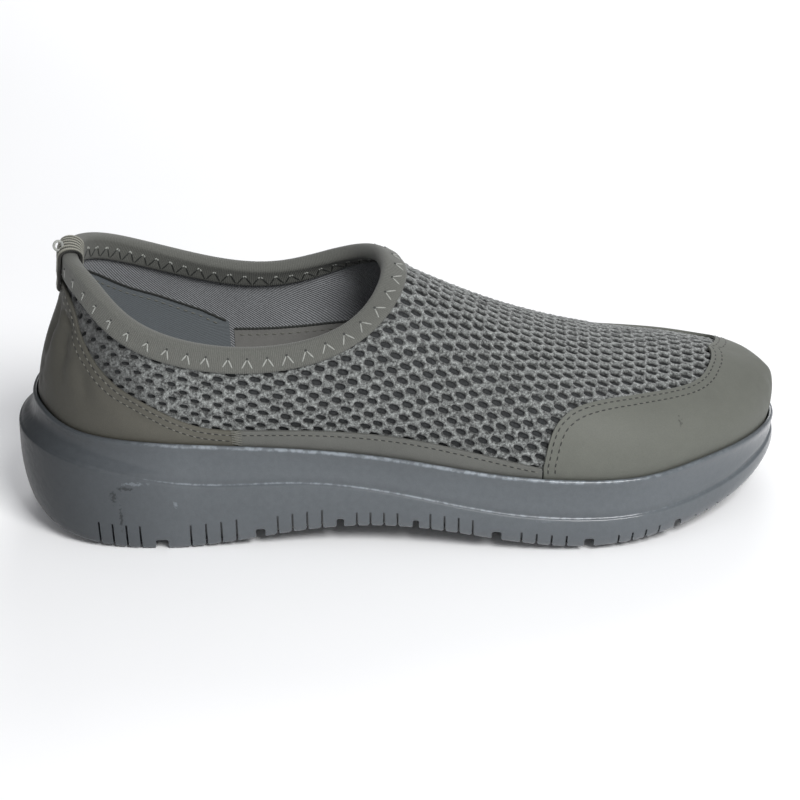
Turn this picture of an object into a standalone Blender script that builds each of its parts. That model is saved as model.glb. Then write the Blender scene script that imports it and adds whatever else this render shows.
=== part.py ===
"""Solids of a slip-on walking shoe with a thick rocker sole.

Metres, +Z up, the toe points to +X and the lateral side lies on -Y.
The shoe stands unbent and empty on its sole, with the floor at z = 0 and the
origin under the middle of the sole. The tables count from the back of the heel.
Every piece is built on the same ring of ribs: a rib starts under the foot,
climbs the wall and ends at the collar or on the ridge of the vamp.
"""
import bpy
import bmesh
import numpy as np
from mathutils import Matrix, Vector
from mathutils.bvhtree import BVHTree

# Driving sizes
LENGTH = 0.297
BALL_WIDTH = 0.104
HEEL_HEIGHT = 0.107
SOLE_HEIGHT = 0.052

# Walls, gaps and trim
WALL = 0.0022
GAP = 0.00035
OVERLAY = 0.0012
LIP = 0.0018
LIP_HEIGHT = 0.0028
LIP_ROUND = 0.0006
BAND_HOLLOW = 0.0006
STEP_DEPTH = 0.0012
TREAD_BULGE = 0.0003
EDGE_TUCK = 0.0015
TREAD_ROLL = 0.010
FEATHER_TUCK = 0.0020
FEATHER_DEPTH = 0.012
MARGIN = 0.009
CORNER = 0.0015
TUCKED = 0.003
CUP_STEP = 0.0018
INSOLE = 0.004
INSOLE_CLEAR = 0.0045
BINDING_LEG = 0.008
BINDING_GAP = 0.0006
TAB_WIDTH = 0.015
TAB_THICKNESS = 0.0015
TAB_OUTER_LEG = 0.014
TAB_INNER_LEG = 0.010
NOTCH_RISE = 0.0042

# Slit between two overlays and half the width of the throat, in ribs
SLIT = 0.05
THROAT_REACH = 4

# Where the band of the sole is hollowed most, from its rim down to the step
HOLLOW_LEVEL = 0.55

# How finely the ribs are drawn
RIBS_PER_SECTION = 3
WALL_STEPS = 10
HIDDEN_ROWS = 4
TAB_COLUMNS = 5

# Sections from the back of the heel to the tip of the toe.
# along: share of LENGTH; lateral, medial: widest half widths, shares of BALL_WIDTH;
# inset: widest line to the foot of the upper, share of BALL_WIDTH;
# rim, step, tread: heights, shares of SOLE_HEIGHT.
SOLE_COLUMNS = ("along", "lateral", "medial", "inset", "rim", "step", "tread")
SOLE_ROWS = (
    (0.000, 0.000, 0.000, 0.080, 1.000, 0.770, 0.310),
    (0.014, 0.175, 0.175, 0.076, 1.000, 0.765, 0.210),
    (0.055, 0.300, 0.300, 0.065, 0.930, 0.720, 0.080),
    (0.130, 0.370, 0.365, 0.048, 0.875, 0.615, 0.010),
    (0.240, 0.390, 0.365, 0.038, 0.835, 0.520, 0.020),
    (0.360, 0.400, 0.335, 0.034, 0.790, 0.520, 0.125),
    (0.480, 0.435, 0.325, 0.034, 0.720, 0.440, 0.170),
    (0.600, 0.490, 0.375, 0.034, 0.625, 0.320, 0.100),
    (0.700, 0.515, 0.440, 0.034, 0.580, 0.270, 0.040),
    (0.790, 0.495, 0.480, 0.034, 0.570, 0.270, 0.060),
    (0.870, 0.398, 0.475, 0.034, 0.590, 0.300, 0.115),
    (0.935, 0.265, 0.405, 0.030, 0.590, 0.350, 0.190),
    (0.980, 0.095, 0.292, 0.023, 0.560, 0.385, 0.260),
    (1.000, -0.090, 0.090, 0.021, 0.530, 0.400, 0.300),
)

# Along the centre of the sole. along: share of LENGTH;
# ground, floor: heights under the sole and inside its cup, shares of SOLE_HEIGHT.
PROFILE_COLUMNS = ("along", "ground", "floor")
PROFILE_ROWS = (
    (0.00, 0.270, 0.680),
    (0.05, 0.130, 0.665),
    (0.10, 0.040, 0.640),
    (0.15, 0.000, 0.620),
    (0.27, 0.000, 0.590),
    (0.37, 0.060, 0.550),
    (0.48, 0.090, 0.500),
    (0.57, 0.040, 0.450),
    (0.63, 0.000, 0.420),
    (0.75, 0.000, 0.390),
    (0.84, 0.050, 0.390),
    (0.92, 0.140, 0.400),
    (1.00, 0.270, 0.410),
)

# The same sections on the upper. bulge, crown: shares of BALL_WIDTH;
# side, drop: shares of HEEL_HEIGHT. They shape the curve of a rib between
# the foot of the upper and its top; fall is the downward slope of the top
# towards the toe, and lead turns the rib's top towards the toe.
RIB_COLUMNS = ("bulge", "side", "crown", "drop", "fall", "lead")
RIB_ROWS = (
    (-0.040, 0.28, 0.020, 0.28, 0.00, 0.00),
    (-0.030, 0.26, 0.020, 0.26, 0.00, 0.00),
    (-0.010, 0.22, 0.020, 0.23, 0.00, 0.00),
    (0.020, 0.19, 0.030, 0.19, 0.00, 0.00),
    (0.030, 0.17, 0.040, 0.13, 0.00, 0.00),
    (0.030, 0.17, 0.060, 0.10, 0.10, 0.10),
    (0.040, 0.20, 0.120, 0.04, 0.40, 0.60),
    (0.040, 0.24, 0.180, 0.00, 0.60, 1.10),
    (0.040, 0.22, 0.240, 0.00, 0.00, 0.70),
    (0.038, 0.19, 0.230, 0.00, 0.00, 0.40),
    (0.035, 0.17, 0.190, 0.00, 0.00, 0.25),
    (0.035, 0.15, 0.145, 0.00, 0.00, 0.15),
    (0.032, 0.155, 0.125, 0.00, 0.00, 0.05),
    (0.032, 0.155, 0.125, 0.00, 0.00, 0.00),
)

# The collar from the heel to the throat, one row for each of the first sections.
# along: share of LENGTH; lateral, medial: shares of BALL_WIDTH;
# lateral_top, medial_top: heights, shares of HEEL_HEIGHT.
COLLAR_COLUMNS = ("along", "lateral", "medial", "lateral_top", "medial_top")
COLLAR_ROWS = (
    (0.078, 0.000, 0.000, 1.000, 1.000),
    (0.083, 0.090, 0.110, 0.995, 0.990),
    (0.105, 0.190, 0.200, 0.960, 0.967),
    (0.150, 0.270, 0.270, 0.850, 0.915),
    (0.235, 0.300, 0.300, 0.750, 0.832),
    (0.345, 0.285, 0.285, 0.730, 0.800),
    (0.438, 0.220, 0.220, 0.810, 0.880),
    (0.476, 0.000, 0.000, 0.925, 0.925),
)

# The ridge of the vamp from the throat to its end over the toes,
# one row for each of the remaining sections.
RIDGE_COLUMNS = ("along", "centre", "top")
RIDGE_ROWS = (
    (0.476, 0.000, 0.925),
    (0.610, 0.000, 0.725),
    (0.720, 0.010, 0.605),
    (0.810, 0.030, 0.543),
    (0.875, 0.050, 0.517),
    (0.920, 0.065, 0.492),
    (0.942, 0.070, 0.470),
)

# Top edges of the overlays. section: number of the section row, counted from the heel;
# height: share of the visible rib, from the sole's rim to the collar or ridge.
COUNTER_EDGE = (
    (0.0, 0.83),
    (1.2, 0.83),
    (1.7, 0.77),
    (2.3, 0.60),
    (3.0, 0.44),
    (3.4, 0.32),
    (3.7, 0.21),
    (4.0, 0.14),
    (4.4, 0.12),
)
BAND_EDGE = (
    (4.3, 0.12),
    (5.3, 0.15),
    (6.3, 0.12),
    (7.0, 0.08),
    (7.6, 0.05),
)
CAP_EDGE = (
    (7.6, 0.06),
    (7.7, 0.19),
    (8.0, 0.36),
    (8.4, 0.45),
    (9.2, 0.53),
    (10.0, 0.56),
    (10.4, 0.60),
    (11.0, 0.77),
    (11.3, 0.87),
    (11.6, 1.00),
)
# The cap's edge keeps lower on the medial side, out of sight from the lateral one.
MEDIAL_CAP_EDGE = (
    (7.6, 0.06),
    (7.7, 0.17),
    (8.0, 0.31),
    (8.4, 0.37),
    (9.2, 0.41),
    (10.0, 0.41),
    (10.6, 0.42),
    (11.0, 0.47),
    (11.3, 0.60),
    (11.6, 1.00),
)
COUNTER_END = 4.33
CAP_START = 7.60

# Transverse grooves of the tread: along and width, shares of LENGTH
NOTCH_COLUMNS = ("along", "width")
NOTCH_ROWS = (
    (0.181, 0.016),
    (0.306, 0.012),
    (0.407, 0.0095),
    (0.502, 0.008),
    (0.603, 0.012),
    (0.720, 0.0125),
    (0.838, 0.0095),
)

# Colour, roughness and metallic of each sub-part
LOOKS = {
    "sole": ((0.140, 0.155, 0.170), 0.55, 0.0),
    "insole": ((0.120, 0.122, 0.125), 0.90, 0.0),
    "upper": ((0.150, 0.150, 0.148), 0.90, 0.0),
    "toe_cap": ((0.185, 0.188, 0.172), 0.75, 0.0),
    "heel_counter": ((0.110, 0.108, 0.095), 0.80, 0.0),
    "side_band_lateral": ((0.165, 0.168, 0.160), 0.78, 0.0),
    "side_band_medial": ((0.165, 0.168, 0.160), 0.78, 0.0),
    "collar_binding": ((0.175, 0.178, 0.170), 0.95, 0.0),
    "pull_tab": ((0.160, 0.160, 0.148), 0.90, 0.0),
}


def table(columns, rows):
    """Return the columns of a table as named arrays."""
    values = np.array(rows, dtype=float)
    return {name: values[:, place] for place, name in enumerate(columns)}


def loop(lateral, medial):
    """Join heel-to-toe values of both sides into one loop around the shoe."""
    return np.concatenate([lateral, medial[-2:0:-1]])


def mix(first, second, share):
    """Return the values a share of the way from first to second."""
    return first + (second - first) * share


def hermite(start, end, start_slope, end_slope, width, share):
    """Evaluate one span of a cubic and its slope."""
    square = share * share
    cube = square * share
    place = (
        (2 * cube - 3 * square + 1) * start
        + (cube - 2 * square + share) * width * start_slope
        + (3 * square - 2 * cube) * end
        + (cube - square) * width * end_slope
    )
    slope = (
        (6 * square - 6 * share) / width * start
        + (3 * square - 4 * share + 1) * start_slope
        + (6 * share - 6 * square) / width * end
        + (3 * square - 2 * share) * end_slope
    )
    return place, slope


def spline(rows, closed, plan):
    """Read a smooth curve RIBS_PER_SECTION times between its rows.

    Spans are as long as the plan columns are far apart. Returns places and slopes.
    """
    count = len(rows)
    following = np.roll(rows, -1, 0)
    lengths = np.linalg.norm((following - rows)[:, plan], axis=1)
    spans = count if closed else count - 1
    slopes_of_chords = (following - rows) / lengths[:, None]
    system = np.zeros((count, count))
    target = np.zeros_like(rows)
    for row in range(count):
        if not closed and row in (0, count - 1):
            neighbour, chord = (1, 0) if row == 0 else (count - 2, count - 2)
            system[row, row] = 2
            system[row, neighbour] = 1
            target[row] = 3 * slopes_of_chords[chord]
            continue
        before, after = lengths[row - 1], lengths[row]
        system[row, row - 1] = after
        system[row, row] = 2 * (before + after)
        system[row, (row + 1) % count] = before
        target[row] = 3 * (after * slopes_of_chords[row - 1] + before * slopes_of_chords[row])
    slopes = np.linalg.solve(system, target)
    places = []
    tangents = []
    for span in range(spans):
        end = (span + 1) % count
        for step in range(RIBS_PER_SECTION):
            share = step / RIBS_PER_SECTION
            place, slope = hermite(rows[span], rows[end], slopes[span], slopes[end], lengths[span], share)
            places.append(place)
            tangents.append(slope)
    if not closed:
        places.append(rows[-1])
        tangents.append(slopes[-1])
    return np.array(places), np.array(tangents)


def solve_ribs():
    """Work out every rib of the shoe from the tables."""
    sole = table(SOLE_COLUMNS, SOLE_ROWS)
    shape = table(RIB_COLUMNS, RIB_ROWS)
    along = sole["along"] * LENGTH
    columns = [loop(along, along), loop(-sole["lateral"] * BALL_WIDTH, sole["medial"] * BALL_WIDTH)]
    columns.append(loop(sole["inset"], sole["inset"]) * BALL_WIDTH)
    columns += [loop(sole[name], sole[name]) * SOLE_HEIGHT for name in ("rim", "step", "tread")]
    columns += [loop(shape[name], shape[name]) * BALL_WIDTH for name in ("bulge", "crown")]
    columns += [loop(shape[name], shape[name]) * HEEL_HEIGHT for name in ("side", "drop")]
    columns += [loop(shape[name], shape[name]) for name in ("fall", "lead")]
    places, _ = spline(np.stack(columns, 1), True, slice(0, 2))
    names = ("x", "y", "inset", "rim", "step", "tread", "bulge", "crown", "side", "drop")
    names += RIB_COLUMNS[-2:]
    ribs = {name: places[:, number] for number, name in enumerate(names)}
    outline = places[:, :2]
    run = np.roll(outline, -1, 0) - np.roll(outline, 1, 0)
    run /= np.linalg.norm(run, axis=1)[:, None]
    ribs["outward"] = np.stack([run[:, 1], -run[:, 0], np.zeros(len(run))], 1)
    ribs["count"] = len(outline)
    ribs["toe"] = len(outline) // 2
    ribs["throat"] = (len(COLLAR_ROWS) - 1) * RIBS_PER_SECTION
    return ribs


def solve_tops(ribs):
    """Place the top of every rib on the collar or on the ridge of the vamp."""
    collar = table(COLLAR_COLUMNS, COLLAR_ROWS)
    along = collar["along"] * LENGTH
    side = loop(-collar["lateral"] * BALL_WIDTH, collar["medial"] * BALL_WIDTH)
    height = loop(collar["lateral_top"], collar["medial_top"]) * HEEL_HEIGHT
    opening, _ = spline(np.stack([loop(along, along), side, height], 1), True, slice(0, 3))
    ridge = table(RIDGE_COLUMNS, RIDGE_ROWS)
    rows = np.stack([ridge["along"] * LENGTH, ridge["centre"] * BALL_WIDTH, ridge["top"] * HEEL_HEIGHT], 1)
    line, slope = spline(rows, False, slice(0, 3))
    count, toe, throat = ribs["count"], ribs["toe"], ribs["throat"]
    tops = np.zeros((count, 3))
    tops[: throat + 1] = opening[: throat + 1]
    tops[count - throat :] = opening[len(opening) - throat :]
    tops[throat : toe + 1] = line
    tops[toe : count - throat + 1] = line[::-1]
    forward = np.tile([1.0, 0.0, 0.0], (count, 1))
    forward[:, 2] = -ribs["fall"]
    forward[throat : toe + 1] = slope / slope[:, :1]
    forward[toe : count - throat + 1] = (slope / slope[:, :1])[::-1]
    return tops, forward


def ring(ribs, offset, height):
    """Return a loop of points offset outward from the sole's widest line."""
    points = np.stack([ribs["x"], ribs["y"], np.broadcast_to(height, ribs["x"].shape)], 1)
    return points + ribs["outward"] * np.broadcast_to(offset, ribs["x"].shape)[:, None]


def profile_ring(ribs, offset, name, rise=0.0):
    """Return a loop of points that follows one height of the centre profile."""
    profile = table(PROFILE_COLUMNS, PROFILE_ROWS)
    points = ring(ribs, offset, 0.0)
    points[:, 2] = np.interp(points[:, 0], profile["along"] * LENGTH, profile[name] * SOLE_HEIGHT) + rise
    return points


def hidden_wall(ribs, depth):
    """Return how far the upper's wall lies inside the widest line, below the rim."""
    return -(ribs["inset"] + GAP + OVERLAY) - FEATHER_TUCK * depth / FEATHER_DEPTH


def upper_grid(ribs):
    """Return the outer face of the upper as rows of points, from the margin to the top."""
    tops, forward = solve_tops(ribs)
    feather = hidden_wall(ribs, FEATHER_DEPTH)
    foot = ring(ribs, hidden_wall(ribs, 0.0), ribs["rim"])
    rows = [
        profile_ring(ribs, feather - MARGIN, "floor", GAP),
        profile_ring(ribs, feather - CORNER, "floor", GAP),
        profile_ring(ribs, feather, "floor", GAP + CORNER),
        ring(ribs, hidden_wall(ribs, TUCKED), ribs["rim"] - TUCKED),
    ]
    upward = np.array([0.0, 0.0, 1.0])
    across = np.array([0.0, 1.0, 0.0])
    low = foot + ribs["outward"] * ribs["bulge"][:, None] + upward * ribs["side"][:, None]
    lead = ribs["outward"][:, :1] + ribs["lead"][:, None]
    spread = lead * forward + ribs["outward"][:, 1:2] * across
    high = tops + spread * ribs["crown"][:, None] - upward * ribs["drop"][:, None]
    for step in range(WALL_STEPS + 1):
        share = step / WALL_STEPS
        rest = 1.0 - share
        rows.append(rest**3 * foot + 3 * rest**2 * share * low + 3 * rest * share**2 * high + share**3 * tops)
    return np.array(rows)


class Skin:
    """The upper's outer face, which all the upper's pieces are laid on."""

    def __init__(self, ribs):
        self.count = ribs["count"]
        self.toe = ribs["toe"]
        self.throat = ribs["throat"]
        self.grid = upper_grid(ribs)
        self.rows = len(self.grid)
        self.points, self.faces = self.weld()
        self.normals = vertex_normals(self.points, self.faces)

    def number(self, row, rib):
        """Return the point number, shared where two ribs meet on the ridge."""
        rib %= self.count
        if row == self.rows - 1 and self.toe < rib <= self.count - self.throat:
            rib = self.count - rib
        return row * self.count + rib

    def weld(self):
        points = self.grid.reshape(-1, 3)
        faces = []
        for row in range(self.rows - 1):
            for rib in range(self.count):
                corners = ((row, rib), (row, rib + 1), (row + 1, rib + 1), (row + 1, rib))
                faces.append([self.number(*corner) for corner in corners])
        return points, faces

    def lifted(self, lift):
        """Return the grid moved along the normals."""
        moved = self.points + self.normals * lift
        numbers = [[self.number(row, rib) for rib in range(self.count)] for row in range(self.rows)]
        return moved[np.array(numbers)]


def vertex_normals(points, faces):
    """Return the area-weighted normals of a quad mesh."""
    normals = np.zeros_like(points)
    for face in faces:
        corners = points[face]
        normal = np.cross(corners[2] - corners[0], corners[3] - corners[1])
        for corner in face:
            normals[corner] += normal
    lengths = np.linalg.norm(normals, axis=1)
    return normals / np.where(lengths > 0.0, lengths, 1.0)[:, None]


def between(grid, row, rib):
    """Read a grid at a row and a rib that may lie between two points."""
    count = grid.shape[1]
    low_row = min(int(np.floor(row)), grid.shape[0] - 2)
    low_rib = int(np.floor(rib))
    row_share = row - low_row
    rib_share = rib - low_rib
    first, second = low_rib % count, (low_rib + 1) % count
    lower = mix(grid[low_row, first], grid[low_row, second], rib_share)
    upper = mix(grid[low_row + 1, first], grid[low_row + 1, second], rib_share)
    return mix(lower, upper, row_share)


class Builder:
    """Collects the points and faces of one solid."""

    def __init__(self, name):
        self.name = name
        self.points = []
        self.faces = []

    def add_points(self, points):
        start = len(self.points)
        self.points.extend(tuple(point) for point in points)
        return list(range(start, len(self.points)))

    def add_face(self, corners):
        kept = [corner for place, corner in enumerate(corners) if corner != corners[place - 1]]
        if len(kept) > 2:
            self.faces.append(kept)

    def strip(self, first, second, closed=True):
        """Join two equally long rows of point numbers."""
        last = len(first) if closed else len(first) - 1
        for place in range(last):
            after = (place + 1) % len(first)
            self.add_face([first[place], first[after], second[after], second[place]])

    def fill(self, loop_numbers):
        """Close a loop around the shoe with strips from the lateral to the medial side."""
        count = len(loop_numbers)
        for place in range(count // 2):
            corners = (place, place + 1, count - place - 1, -place % count)
            self.add_face([loop_numbers[corner] for corner in corners])

    def finish(self, most_corners=4):
        """Make the object, with all faces turned outward and wider ones split into triangles."""
        mesh = bpy.data.meshes.new(self.name)
        work = bmesh.new()
        corners = [work.verts.new(point) for point in self.points]
        for face in self.faces:
            work.faces.new([corners[number] for number in face])
        loose = [corner for corner in work.verts if not corner.link_faces]
        bmesh.ops.delete(work, geom=loose, context="VERTS")
        wide = [face for face in work.faces if len(face.verts) > most_corners]
        bmesh.ops.triangulate(work, faces=wide)
        bmesh.ops.recalc_face_normals(work, faces=work.faces)
        work.to_mesh(mesh)
        work.free()
        mesh.polygons.foreach_set("use_smooth", [True] * len(mesh.polygons))
        obj = bpy.data.objects.new(self.name, mesh)
        bpy.context.scene.collection.objects.link(obj)
        mesh.materials.append(look(self.name))
        return obj


def look(name):
    """Return the material of a sub-part."""
    colour, roughness, metallic = LOOKS[name]
    material = bpy.data.materials.new(name)
    material.use_nodes = True
    shader = material.node_tree.nodes["Principled BSDF"]
    shader.inputs["Base Color"].default_value = (*colour, 1.0)
    shader.inputs["Roughness"].default_value = roughness
    shader.inputs["Metallic"].default_value = metallic
    return material


def shell(name, faces, outer, inner):
    """Make a closed solid between two copies of an open mesh."""
    builder = Builder(name)
    front = builder.add_points(outer)
    back = builder.add_points(inner)
    edges = set()
    for face in faces:
        kept = [corner for place, corner in enumerate(face) if corner != face[place - 1]]
        if len(kept) < 3:
            continue
        builder.add_face([front[corner] for corner in kept])
        builder.add_face([back[corner] for corner in reversed(kept)])
        edges.update(zip(kept, kept[1:] + kept[:1]))
    for start, end in sorted(edges):
        if (end, start) not in edges:
            builder.add_face([front[end], front[start], back[start], back[end]])
    return builder.finish()


def make_upper(skin):
    """Knit upper: one hollow wall with its lasting margin turned in underneath."""
    inner = skin.points - skin.normals * WALL
    return shell("upper", skin.faces, skin.points, inner)


def edge_row(edges, place, count):
    """Return the grid row, whole or not, where an overlay ends on a rib.

    Edges are the lateral and the medial edge line.
    """
    rib = place % count
    sections, heights = zip(*edges[1 if rib > count / 2 else 0])
    section = min(rib, count - rib) / RIBS_PER_SECTION
    return HIDDEN_ROWS + np.interp(section, sections, heights) * WALL_STEPS


def clip(corners, left, right, left_row, right_row):
    """Keep the part of a grid cell below the line between two edge rows."""
    slope = (right_row - left_row) / (right - left)

    def over(corner):
        return corner[1] - left_row - (corner[0] - left) * slope

    kept = []
    for before, corner in zip(corners[-1:] + corners[:-1], corners):
        high, low = over(before), over(corner)
        if high * low < 0.0:
            share = high / (high - low)
            kept.append(tuple(mix(a, b, share) for a, b in zip(before, corner)))
        if low <= 0.0:
            kept.append(corner)
    return kept


def make_overlay(name, skin, edges, places):
    """Panel laid on the upper, from inside the sole's rim up to its edge.

    Places are rib numbers, which may lie between two ribs.
    """
    low = skin.lifted(GAP)
    high = skin.lifted(GAP + OVERLAY)
    numbers = {}
    inner = []
    outer = []

    def number(place, row):
        rib = place % skin.count
        if row >= skin.rows - 1 and skin.toe < rib <= skin.count - skin.throat:
            rib = skin.count - rib
        key = (round(rib, 6), round(row, 6))
        if key not in numbers:
            numbers[key] = len(inner)
            inner.append(between(low, row, rib))
            outer.append(between(high, row, rib))
        return numbers[key]

    faces = []
    for left, right in zip(places, places[1:]):
        left_row = edge_row(edges, left, skin.count)
        right_row = edge_row(edges, right, skin.count)
        for row in range(HIDDEN_ROWS - 1, skin.rows - 1):
            cell = [(left, row), (right, row), (right, row + 1), (left, row + 1)]
            corners = clip(cell, left, right, left_row, right_row)
            if len(corners) > 2:
                faces.append([number(*corner) for corner in corners])
    return shell(name, faces, np.array(outer), np.array(inner))


def places_between(start, end):
    """Return a start, the whole ribs after it and an end."""
    whole = range(int(np.floor(start)) + 1, int(np.ceil(end)))
    return [start, *whole, end]


def make_overlays(skin):
    """Heel counter, toe cap and the low band that joins them on each side."""
    counter_end = COUNTER_END * RIBS_PER_SECTION
    cap_start = CAP_START * RIBS_PER_SECTION
    band = places_between(counter_end + SLIT, cap_start - SLIT)
    counter = (COUNTER_EDGE, COUNTER_EDGE)
    cap = (CAP_EDGE, MEDIAL_CAP_EDGE)
    bands = (BAND_EDGE, BAND_EDGE)
    make_overlay("heel_counter", skin, counter, places_between(-counter_end, counter_end))
    make_overlay("toe_cap", skin, cap, places_between(cap_start, skin.count - cap_start))
    make_overlay("side_band_lateral", skin, bands, band)
    make_overlay("side_band_medial", skin, bands, [skin.count - place for place in reversed(band)])


def make_sole(ribs):
    """Moulded sole: a cup with a lip, a concave band, a step and a bulging tread edge."""
    builder = Builder("sole")
    rim, step, tread = (ribs[name] for name in ("rim", "step", "tread"))
    lip_inner = hidden_wall(ribs, 0.0) + OVERLAY + 2 * GAP
    lip_outer = lip_inner + LIP
    edge = -EDGE_TUCK
    cup = TUCKED + CUP_STEP
    rings = [
        profile_ring(ribs, hidden_wall(ribs, FEATHER_DEPTH) + GAP, "floor"),
        ring(ribs, hidden_wall(ribs, cup) + GAP, rim - cup),
        ring(ribs, lip_inner, rim - TUCKED - CUP_STEP / 2),
        ring(ribs, lip_inner, rim),
        ring(ribs, lip_outer - LIP_ROUND, rim),
        ring(ribs, lip_outer, rim - LIP_ROUND),
        ring(ribs, lip_outer, rim - LIP_HEIGHT),
        ring(ribs, lip_outer - BAND_HOLLOW, mix(rim, step, HOLLOW_LEVEL)),
        ring(ribs, -STEP_DEPTH, step + STEP_DEPTH),
        ring(ribs, 0.0, step - STEP_DEPTH / 2),
        ring(ribs, TREAD_BULGE, (step + tread) / 2),
        ring(ribs, edge, tread),
        profile_ring(ribs, edge - TREAD_ROLL, "ground"),
    ]
    numbers = [builder.add_points(points) for points in rings]
    for first, second in zip(numbers, numbers[1:]):
        builder.strip(first, second)
    builder.fill(numbers[0])
    builder.fill(numbers[-1])
    sole = builder.finish(most_corners=3)
    cut_notches(sole, ribs)
    return sole


def cut_notches(sole, ribs):
    """Cut the transverse grooves that split the tread into its main blocks."""
    notches = table(NOTCH_COLUMNS, NOTCH_ROWS)
    lateral = slice(0, ribs["toe"] + 1)
    for number, (along, width) in enumerate(zip(notches["along"], notches["width"])):
        top = np.interp(along * LENGTH, ribs["x"][lateral], ribs["tread"][lateral]) + NOTCH_RISE
        half = width * LENGTH / 2
        cutter = box(f"notch_{number}", along * LENGTH - half, along * LENGTH + half, top)
        cut = sole.modifiers.new(cutter.name, "BOOLEAN")
        cut.operation = "DIFFERENCE"
        cut.solver = "EXACT"
        cut.object = cutter


def box(name, back, front, top):
    """Cutter across the whole sole, from below the floor up to a height."""
    mesh = bpy.data.meshes.new(name)
    work = bmesh.new()
    bmesh.ops.create_cube(work, size=1.0)
    size = Vector((front - back, 2 * BALL_WIDTH, top + SOLE_HEIGHT))
    centre = Vector(((front + back) / 2, 0.0, (top - SOLE_HEIGHT) / 2))
    for corner in work.verts:
        corner.co = Vector(a * b for a, b in zip(corner.co, size)) + centre
    work.to_mesh(mesh)
    work.free()
    cutter = bpy.data.objects.new(name, mesh)
    bpy.context.scene.collection.objects.link(cutter)
    cutter.hide_render = True
    cutter.display_type = "WIRE"
    return cutter


def make_insole(ribs):
    """Sock lying on the turned-in margin of the upper."""
    builder = Builder("insole")
    outline = hidden_wall(ribs, FEATHER_DEPTH) - INSOLE_CLEAR
    under = 2 * GAP + WALL
    chamfer = INSOLE / 4
    rings = [
        profile_ring(ribs, outline, "floor", under),
        profile_ring(ribs, outline, "floor", under + INSOLE - chamfer),
        profile_ring(ribs, outline - chamfer, "floor", under + INSOLE),
    ]
    numbers = [builder.add_points(points) for points in rings]
    for first, second in zip(numbers, numbers[1:]):
        builder.strip(first, second)
    builder.fill(numbers[0])
    builder.fill(numbers[-1])
    return builder.finish()


class Face:
    """One side of the upper's wall, searched for its nearest point."""

    def __init__(self, points, normals, faces):
        self.normals = normals
        self.points = points
        self.faces = [tuple(half) for face in faces for half in ((face[:3]), (face[0], face[2], face[3]))]
        self.tree = BVHTree.FromPolygons([Vector(point) for point in points], self.faces)

    def at(self, place, lift):
        """Return the nearest point of the face, lifted along its smooth normal."""
        spot, _, number, _ = self.tree.find_nearest(Vector(place))
        corners = self.points[list(self.faces[number])]
        shares = weights(np.array(spot), corners)
        normal = shares @ self.normals[list(self.faces[number])]
        return np.array(spot) + normal / np.linalg.norm(normal) * lift


def weights(spot, corners):
    """Return how much each corner of a triangle counts at a spot on it."""
    first, second = corners[1] - corners[0], corners[2] - corners[0]
    offset = spot - corners[0]
    a, b, c = first @ first, first @ second, second @ second
    d, e = offset @ first, offset @ second
    size = a * c - b * b
    right, left = (c * d - b * e) / size, (a * e - b * d) / size
    return np.array([1.0 - right - left, right, left])


class Collar:
    """The upper's top edge, with the directions out of it and down the wall."""

    def __init__(self, skin):
        last = skin.rows - 1
        ribs = [*range(skin.throat + 1), *range(skin.count - skin.throat + 1, skin.count)]
        numbers = [skin.number(last, rib) for rib in ribs]
        self.tops = skin.points[numbers]
        self.outward = skin.normals[numbers]
        run = np.roll(self.tops, -1, 0) - np.roll(self.tops, 1, 0)
        down = np.cross(run, self.outward)
        down /= np.linalg.norm(down, axis=1)[:, None]
        self.down = down * -np.sign(down[0, 2])
        inner_points = skin.points - skin.normals * WALL
        self.outer = Face(skin.points, skin.normals, skin.faces)
        self.inner = Face(inner_points, -skin.normals, skin.faces)

    def read(self, values, place):
        """Read collar values at a place that may lie between two ribs."""
        low = int(np.floor(place))
        return mix(values[low % len(values)], values[(low + 1) % len(values)], place - low)

    def section(self, place, profile):
        """Lay a profile over the edge. Its rows name a side, a lift and a depth."""
        top = self.read(self.tops, place)
        outward = self.read(self.outward, place)
        down = self.read(self.down, place)
        points = []
        for side, lift, depth in profile:
            if side == "outer" and depth > 0.0:
                points.append(self.outer.at(top + down * depth, lift))
            elif side == "inner" and depth > 0.0:
                points.append(self.inner.at(top - outward * WALL + down * depth, lift))
            else:
                across = {"outer": lift, "middle": -WALL / 2, "inner": -WALL - lift}[side]
                points.append(top + outward * across + down * depth)
        return points


def make_binding(collar, throat):
    """Folded binding that wraps the collar's edge inside and outside."""
    far = BINDING_GAP + OVERLAY
    depths = [BINDING_LEG, BINDING_LEG * 2 / 3, BINDING_LEG / 3]
    outer = [("outer", far, depth) for depth in depths]
    outer += [("outer", far, 0.0), ("middle", 0.0, -far), ("inner", far, 0.0)]
    outer += [("inner", far, depth) for depth in reversed(depths)]
    near = BINDING_GAP
    inner = [("outer", near, depth) for depth in depths]
    inner += [("outer", near, -near), ("middle", 0.0, -near), ("inner", near, -near)]
    inner += [("inner", near, depth) for depth in reversed(depths)]
    whole = range(len(collar.tops))
    halves = [place + 0.5 for place in whole if abs(place + 0.5 - throat) < THROAT_REACH]
    places = sorted([*whole, *halves])
    return sweep("collar_binding", collar, places, outer, inner, True)


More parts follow.
